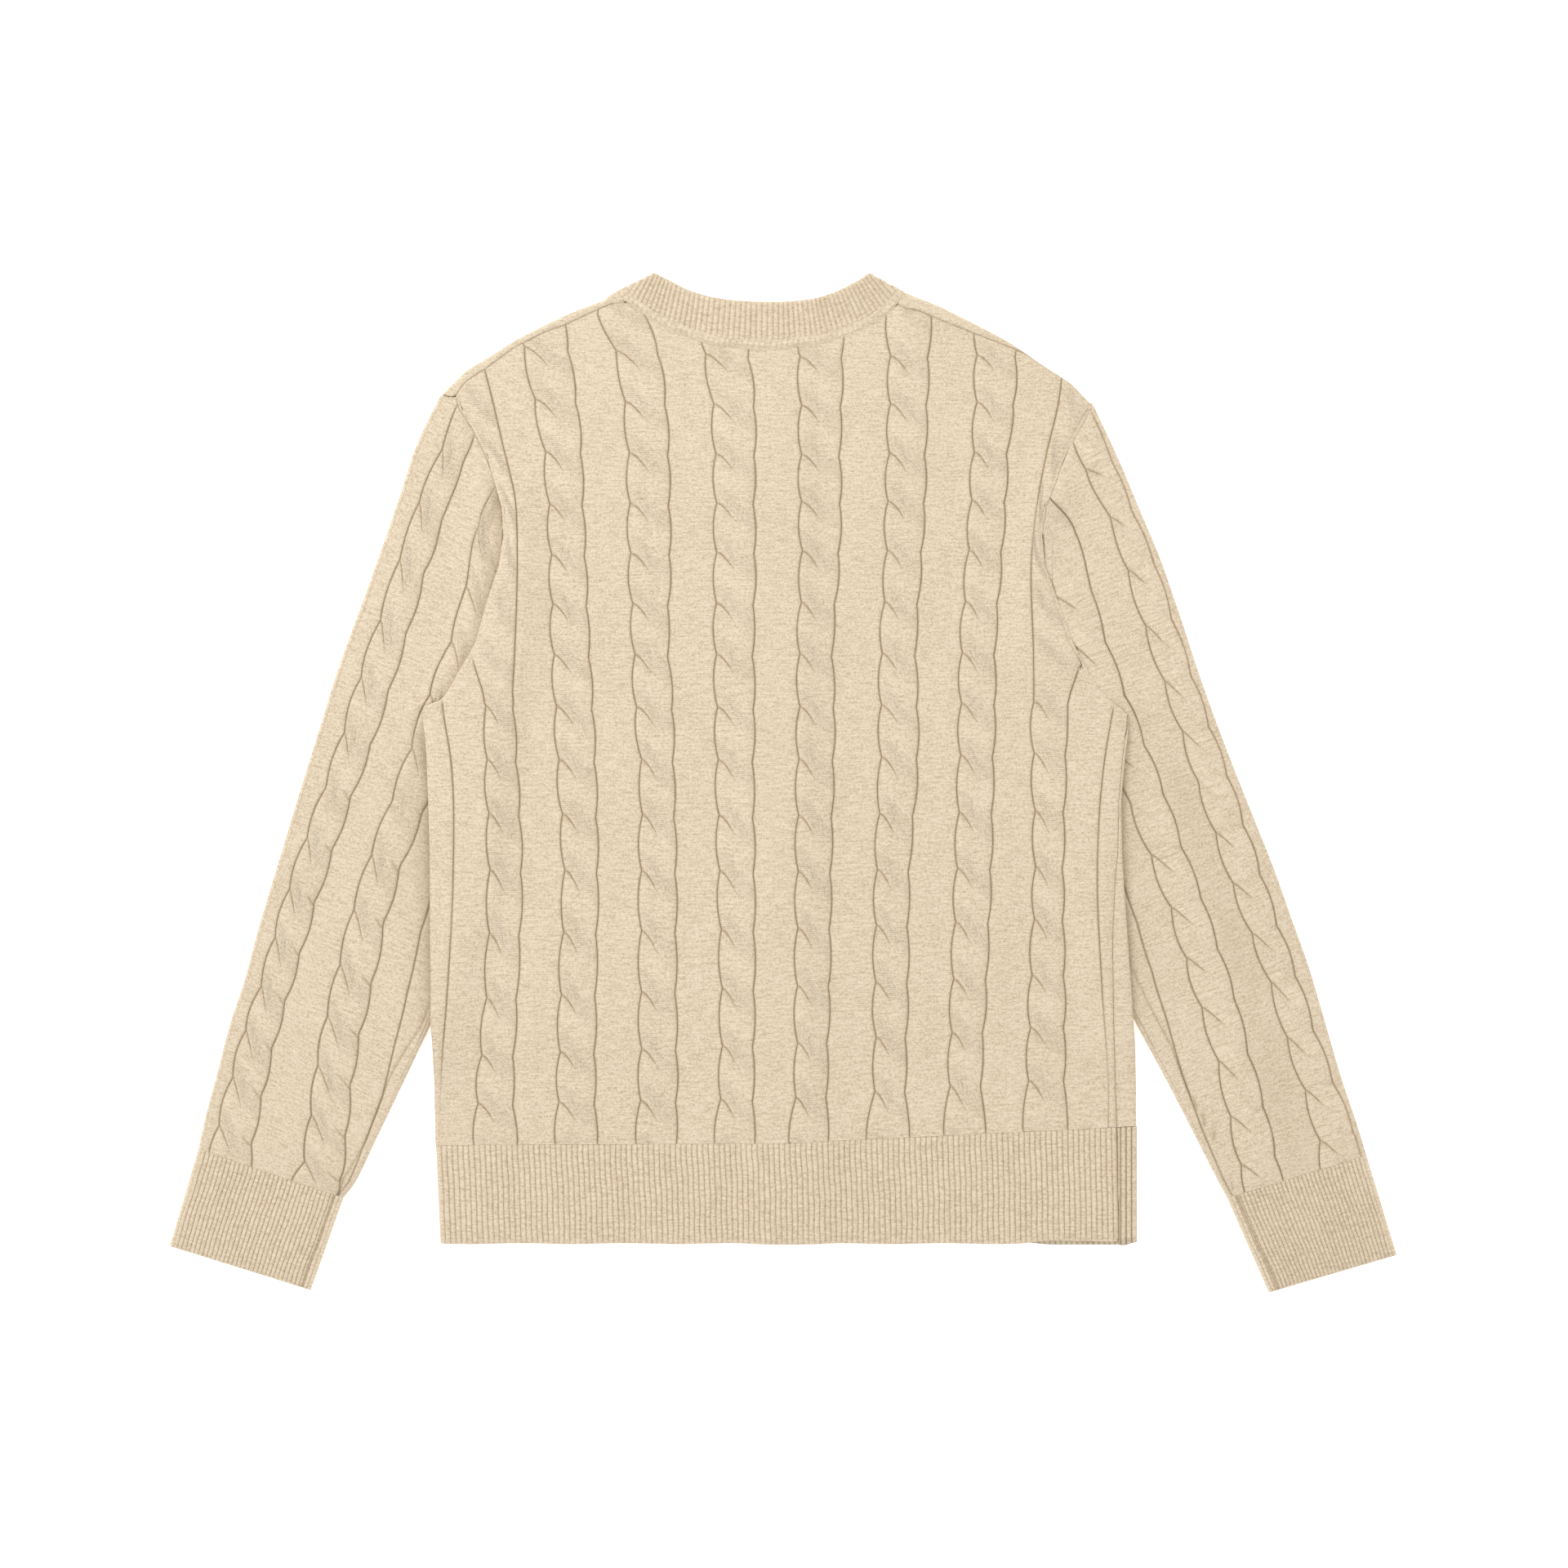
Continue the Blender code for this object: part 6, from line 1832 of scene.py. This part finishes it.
def stitch_group() -> bpy.types.NodeTree:
    """Height of stockinette stitches: each wale is a column of small V shapes.

    Returns:
        The node group, from stitch coordinates to a height.
    """
    group = bpy.data.node_groups.new("stitches", "ShaderNodeTree")
    group.interface.new_socket("Knit", in_out="INPUT", socket_type="NodeSocketVector")
    group.interface.new_socket("Height", in_out="OUTPUT", socket_type="NodeSocketFloat")
    wire = Wiring(group)
    source = wire.node("NodeGroupInput")
    split = wire.node("ShaderNodeSeparateXYZ", {0: source.outputs["Knit"]})
    wale = wire.math("FRACT", split.outputs[0])
    leg = wire.math("ABSOLUTE", wire.math("SUBTRACT", wale, 0.5))
    slant = wire.math("MULTIPLY_ADD", leg, 1.3, split.outputs[1])
    lobe = wire.math("MULTIPLY_ADD", wire.math("COSINE", wire.math("MULTIPLY", slant, 2 * math.pi)),
                     0.35, 0.65)
    side = wire.math("SINE", wire.math("MULTIPLY", leg, 2 * math.pi))
    rounded = wire.math("MULTIPLY_ADD", side, 0.7, 0.3)
    height = wire.math("MULTIPLY", lobe, rounded)
    sink = wire.node("NodeGroupOutput")
    group.links.new(height, sink.inputs["Height"])
    return group


def heather_group() -> bpy.types.NodeTree:
    """Lighter and darker yarn: streaks along the rows, single fibres and slow mottling.

    Returns:
        The node group, from stitch and object coordinates to a value.
    """
    group = bpy.data.node_groups.new("heather", "ShaderNodeTree")
    group.interface.new_socket("Knit", in_out="INPUT", socket_type="NodeSocketVector")
    group.interface.new_socket("Place", in_out="INPUT", socket_type="NodeSocketVector")
    group.interface.new_socket("Value", in_out="OUTPUT", socket_type="NodeSocketFloat")
    wire = Wiring(group)
    source = wire.node("NodeGroupInput")
    scaled = wire.node("ShaderNodeVectorMath", {0: source.outputs["Knit"], 1: (0.17, 0.85, 1.0)},
                       operation="MULTIPLY")
    streak = wire.node("ShaderNodeTexNoise", {"Vector": scaled.outputs[0], "Scale": 1.0,
                                              "Detail": 3.0, "Roughness": 0.6})
    loops = wire.node("ShaderNodeTexNoise", {"Vector": source.outputs["Knit"], "Scale": 0.8,
                                             "Detail": 1.0})
    fibre = wire.node("ShaderNodeTexNoise", {"Vector": source.outputs["Place"], "Scale": 1000.0,
                                             "Detail": 2.0})
    slow = wire.node("ShaderNodeTexNoise", {"Vector": source.outputs["Place"], "Scale": 34.0,
                                            "Detail": 2.0})
    fine = wire.math("MULTIPLY_ADD", loops.outputs[0], 1.3,
                     wire.math("MULTIPLY_ADD", fibre.outputs[0], 2.0, -2.30))
    mixed = wire.math("MULTIPLY_ADD", streak.outputs[0], 1.7,
                      wire.math("MULTIPLY_ADD", slow.outputs[0], 0.3, fine))
    sink = wire.node("NodeGroupOutput")
    group.links.new(mixed, sink.inputs["Value"])
    return group


@dataclass(frozen=True)
class KnitFinish:
    """Finish of undyed wool knit."""

    name: str
    light: tuple = (0.835, 0.710, 0.538, 1.0)
    deep: tuple = (0.565, 0.441, 0.292, 1.0)
    # Colour of the painted shade, and how far a full shade attribute mixes the yarn toward it.
    painted_shade: tuple = (0.280, 0.175, 0.070, 1.0)
    painted_shade_share: float = 0.76
    depth: float = 0.00035
    stitch_shading: float = 0.16
    # How strongly the stitch height paints light and shade into the colour.
    roughness: float = 0.92
    sheen: float = 0.25

    def material(self, stitches: bpy.types.NodeTree,
                 heather: bpy.types.NodeTree) -> bpy.types.Material:
        """Wool with stitches and heather, and painted shade mixed in from the shade attribute.

        Args:
            stitches: Group that gives the height of stitches.
            heather: Group that gives the mix of yarns.

        Returns:
            The material.
        """
        made = bpy.data.materials.new(self.name)
        made.use_nodes = True
        made.node_tree.nodes.clear()
        wire = Wiring(made.node_tree)
        knit = wire.node("ShaderNodeUVMap", uv_map="knit")
        place = wire.node("ShaderNodeTexCoord")
        shade = wire.node("ShaderNodeAttribute", attribute_name="shade", attribute_type="GEOMETRY")
        loops = wire.node("ShaderNodeGroup", node_tree=stitches)
        yarns = wire.node("ShaderNodeGroup", node_tree=heather)
        wire.tree.links.new(knit.outputs[0], loops.inputs["Knit"])
        wire.tree.links.new(knit.outputs[0], yarns.inputs["Knit"])
        wire.tree.links.new(place.outputs["Object"], yarns.inputs["Place"])
        # Painted light and shade of the stitches: loop tops lighter, gaps between them darker, on
        # top of the yarn's heather.
        yarn_and_stitch_shading = wire.math("MULTIPLY_ADD", loops.outputs[0], -self.stitch_shading,
                            wire.math("ADD", yarns.outputs[0], self.stitch_shading * 0.4))
        held = wire.node("ShaderNodeClamp", {0: yarn_and_stitch_shading})
        yarn = wire.node("ShaderNodeMix", {0: held.outputs[0], 6: self.light, 7: self.deep},
                         data_type="RGBA")
        # Painted shade: the shade attribute darkens the yarn in grooves, rib valleys, cable
        # crossings and beside the body, and along seams, where it partly stands for their own
        # darker joints.
        dark = wire.math("MULTIPLY", shade.outputs["Fac"], self.painted_shade_share)
        colour = wire.node("ShaderNodeMix", {0: dark, 6: yarn.outputs[2], 7: self.painted_shade},
                           data_type="RGBA")
        bump = wire.node("ShaderNodeBump", {"Height": loops.outputs[0], "Distance": self.depth,
                                            "Strength": 0.8})
        shader = wire.node("ShaderNodeBsdfPrincipled", {
            "Base Color": colour.outputs[2], "Normal": bump.outputs[0], "Roughness": self.roughness,
            "Sheen Weight": self.sheen, "Sheen Roughness": 0.6, "Specular IOR Level": 0.15})
        shader.inputs["Sheen Tint"].default_value = (0.95, 0.88, 0.76, 1.0)
        wire.node("ShaderNodeOutputMaterial", {0: shader.outputs[0]})
        return made


@dataclass(frozen=True)
class HornFinish:
    """Finish of matt horn buttons."""

    name: str = "horn"
    light: tuple = (0.50, 0.36, 0.22, 1.0)
    deep: tuple = (0.24, 0.15, 0.08, 1.0)

    def material(self) -> bpy.types.Material:
        """Cloudy brown horn.

        Returns:
            The material.
        """
        made = bpy.data.materials.new(self.name)
        made.use_nodes = True
        made.node_tree.nodes.clear()
        wire = Wiring(made.node_tree)
        place = wire.node("ShaderNodeTexCoord")
        cloud = wire.node("ShaderNodeTexNoise", {"Vector": place.outputs["Object"], "Scale": 160.0,
                                                 "Detail": 4.0, "Distortion": 1.2})
        colour = wire.node("ShaderNodeMix", {0: cloud.outputs[0], 6: self.light, 7: self.deep},
                           data_type="RGBA")
        shader = wire.node("ShaderNodeBsdfPrincipled", {"Base Color": colour.outputs[2],
                                                        "Roughness": 0.42})
        wire.node("ShaderNodeOutputMaterial", {0: shader.outputs[0]})
        return made


@dataclass
class Studio:
    """Pale floor, soft light and the camera straight above."""

    lens: float = 85.0
    sensor: float = 36.0
    frame_width: float = 1.1136
    middle: tuple = (0.00058, -0.00087)
    mean_height: float = 0.006
    sky: float = 0.905
    lamp_power: float = 20.0
    lamp_size: float = 1.4
    lamp_place: tuple = (-1.0, 1.3, 1.7)
    lamp_turn: tuple = (-37.0, -30.0, 0.0)
    floor_size: float = 3.0
    floor_grey: float = 0.93
    floor_glow: float = 0.45

    def build(self) -> None:
        """Adds floor, light and camera."""
        bpy.context.scene.view_settings.view_transform = "Standard"
        self._floor()
        self._light()
        self._camera()

    def _floor(self) -> None:
        """Near-white sheet under the garment."""
        bm = bmesh.new()
        bmesh.ops.create_grid(bm, x_segments=1, y_segments=1, size=self.floor_size)
        floor = finished("floor", bm)
        floor.location.z = -0.0004
        paint = bpy.data.materials.new("floor")
        paint.use_nodes = True
        shader = paint.node_tree.nodes["Principled BSDF"]
        shader.inputs["Base Color"].default_value = (*[self.floor_grey] * 3, 1.0)
        shader.inputs["Roughness"].default_value = 0.9
        shader.inputs["Specular IOR Level"].default_value = 0.0
        shader.inputs["Emission Color"].default_value = (1.0, 1.0, 1.0, 1.0)
        shader.inputs["Emission Strength"].default_value = self.floor_glow
        floor.data.materials.append(paint)

    def _light(self) -> None:
        """Even sky light and one large soft lamp from the upper left."""
        world = bpy.data.worlds.new("studio")
        world.use_nodes = True
        world.node_tree.nodes["Background"].inputs[0].default_value = (1.0, 1.0, 1.0, 1.0)
        world.node_tree.nodes["Background"].inputs[1].default_value = self.sky
        bpy.context.scene.world = world
        lamp = bpy.data.lights.new("softbox", "AREA")
        lamp.shape = "DISK"
        lamp.size = self.lamp_size
        lamp.energy = self.lamp_power
        holder = bpy.data.objects.new("softbox", lamp)
        holder.location = self.lamp_place
        holder.rotation_euler = [math.radians(turn) for turn in self.lamp_turn]
        bpy.context.scene.collection.objects.link(holder)

    def _camera(self) -> None:
        """Camera straight down over the middle of the garment."""
        camera = bpy.data.cameras.new("camera")
        camera.lens = self.lens
        camera.sensor_width = self.sensor
        holder = bpy.data.objects.new("camera", camera)
        distance = self.lens / self.sensor * self.frame_width
        holder.location = (*self.middle, distance + self.mean_height)
        bpy.context.scene.collection.objects.link(holder)
        bpy.context.scene.camera = holder


@dataclass
class Cut:
    """Flat cut of a piece: width, length and the share of that rectangle it fills."""

    width: float
    length: float
    share: float = 0.98


@dataclass
class Cardigan:
    """The whole garment, piece by piece."""

    plan: BodyPlan = field(default_factory=BodyPlan)
    weaver: Weaver = field(default_factory=Weaver)
    ribbing: Ribbing = field(default_factory=Ribbing)
    section: TubeSection = field(default_factory=TubeSection)

    def build(self) -> None:
        """Builds every piece over its solid and reports it."""
        groups = stitch_group(), heather_group()
        wool = KnitFinish("wool").material(*groups)
        ribbed = KnitFinish("ribbed_wool", depth=0.0003).material(*groups)
        horn = HornFinish().material()
        cabling = Cabling(self.plan)
        self._add("back", BackPanel(self.plan, cabling).relief(), wool, 4)
        self._add("hem_back", BackHem(self.plan, self.ribbing).relief(), ribbed, 8)
        for side in Side:
            end = "_" + side.value
            level = UPPER_BAND_Z if side is Side.LEFT else LOWER_BAND_Z
            self._add("front" + end, FrontPanel(self.plan, side).relief(), wool, 1,
                      crisp=False)
            self._add("hem_front" + end, FrontHem(self.plan, self.ribbing, side).relief(), ribbed,
                      1, crisp=False)
            self._add("sleeve" + end, Sleeve(self.plan, cabling, self.section, side).relief(), wool,
                      4, tube=True)
            self._add("cuff" + end, Cuff(self.ribbing, self.section, side).relief(), ribbed,
                      4, tube=True)
            self._add("button_band" + end, ButtonBand(self.plan, level).relief(), ribbed,
                      1)
        self._add("neckband", Neckband(self.plan, self.ribbing).relief(), ribbed, 1)
        for row in range(BUTTON_ROWS):
            name = "button_%d" % (row + 1)
            piece = Button(self.plan, row).build(name + "_horn")
            piece.data.materials.clear()
            piece.data.materials.append(horn)
            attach(piece, "root")
            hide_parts(name)
            LOG.info("%s: %d faces", name, len(piece.data.polygons))

    def _add(self, name: str, relief: Relief, paint: bpy.types.Material, step: int,
             tube: bool = False, crisp: bool = True) -> None:
        """Weaves a piece and puts it in its solid's place.

        Args:
            name: The solid's name.
            relief: The piece's points.
            paint: Its material.
            step: Coarseness of its hidden face.
            tube: Whether it is closed all round.
            crisp: Whether its rims are sharp edges.
        """
        piece = self.weaver.weave(name + "_knit", relief, step, tube, crisp)
        piece.data.materials.append(paint)
        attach(piece, "root")
        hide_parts(name)
        triangles = sum(len(face.vertices) - 2 for face in piece.data.polygons)
        LOG.info("%s: %d triangles", name, triangles)


def main() -> None:
    """Dresses the cardigan and sets up its studio."""
    logging.basicConfig(level=logging.INFO, format="%(message)s")
    Cardigan().build()
    Studio().build()


if __name__ == "__main__":
    main()
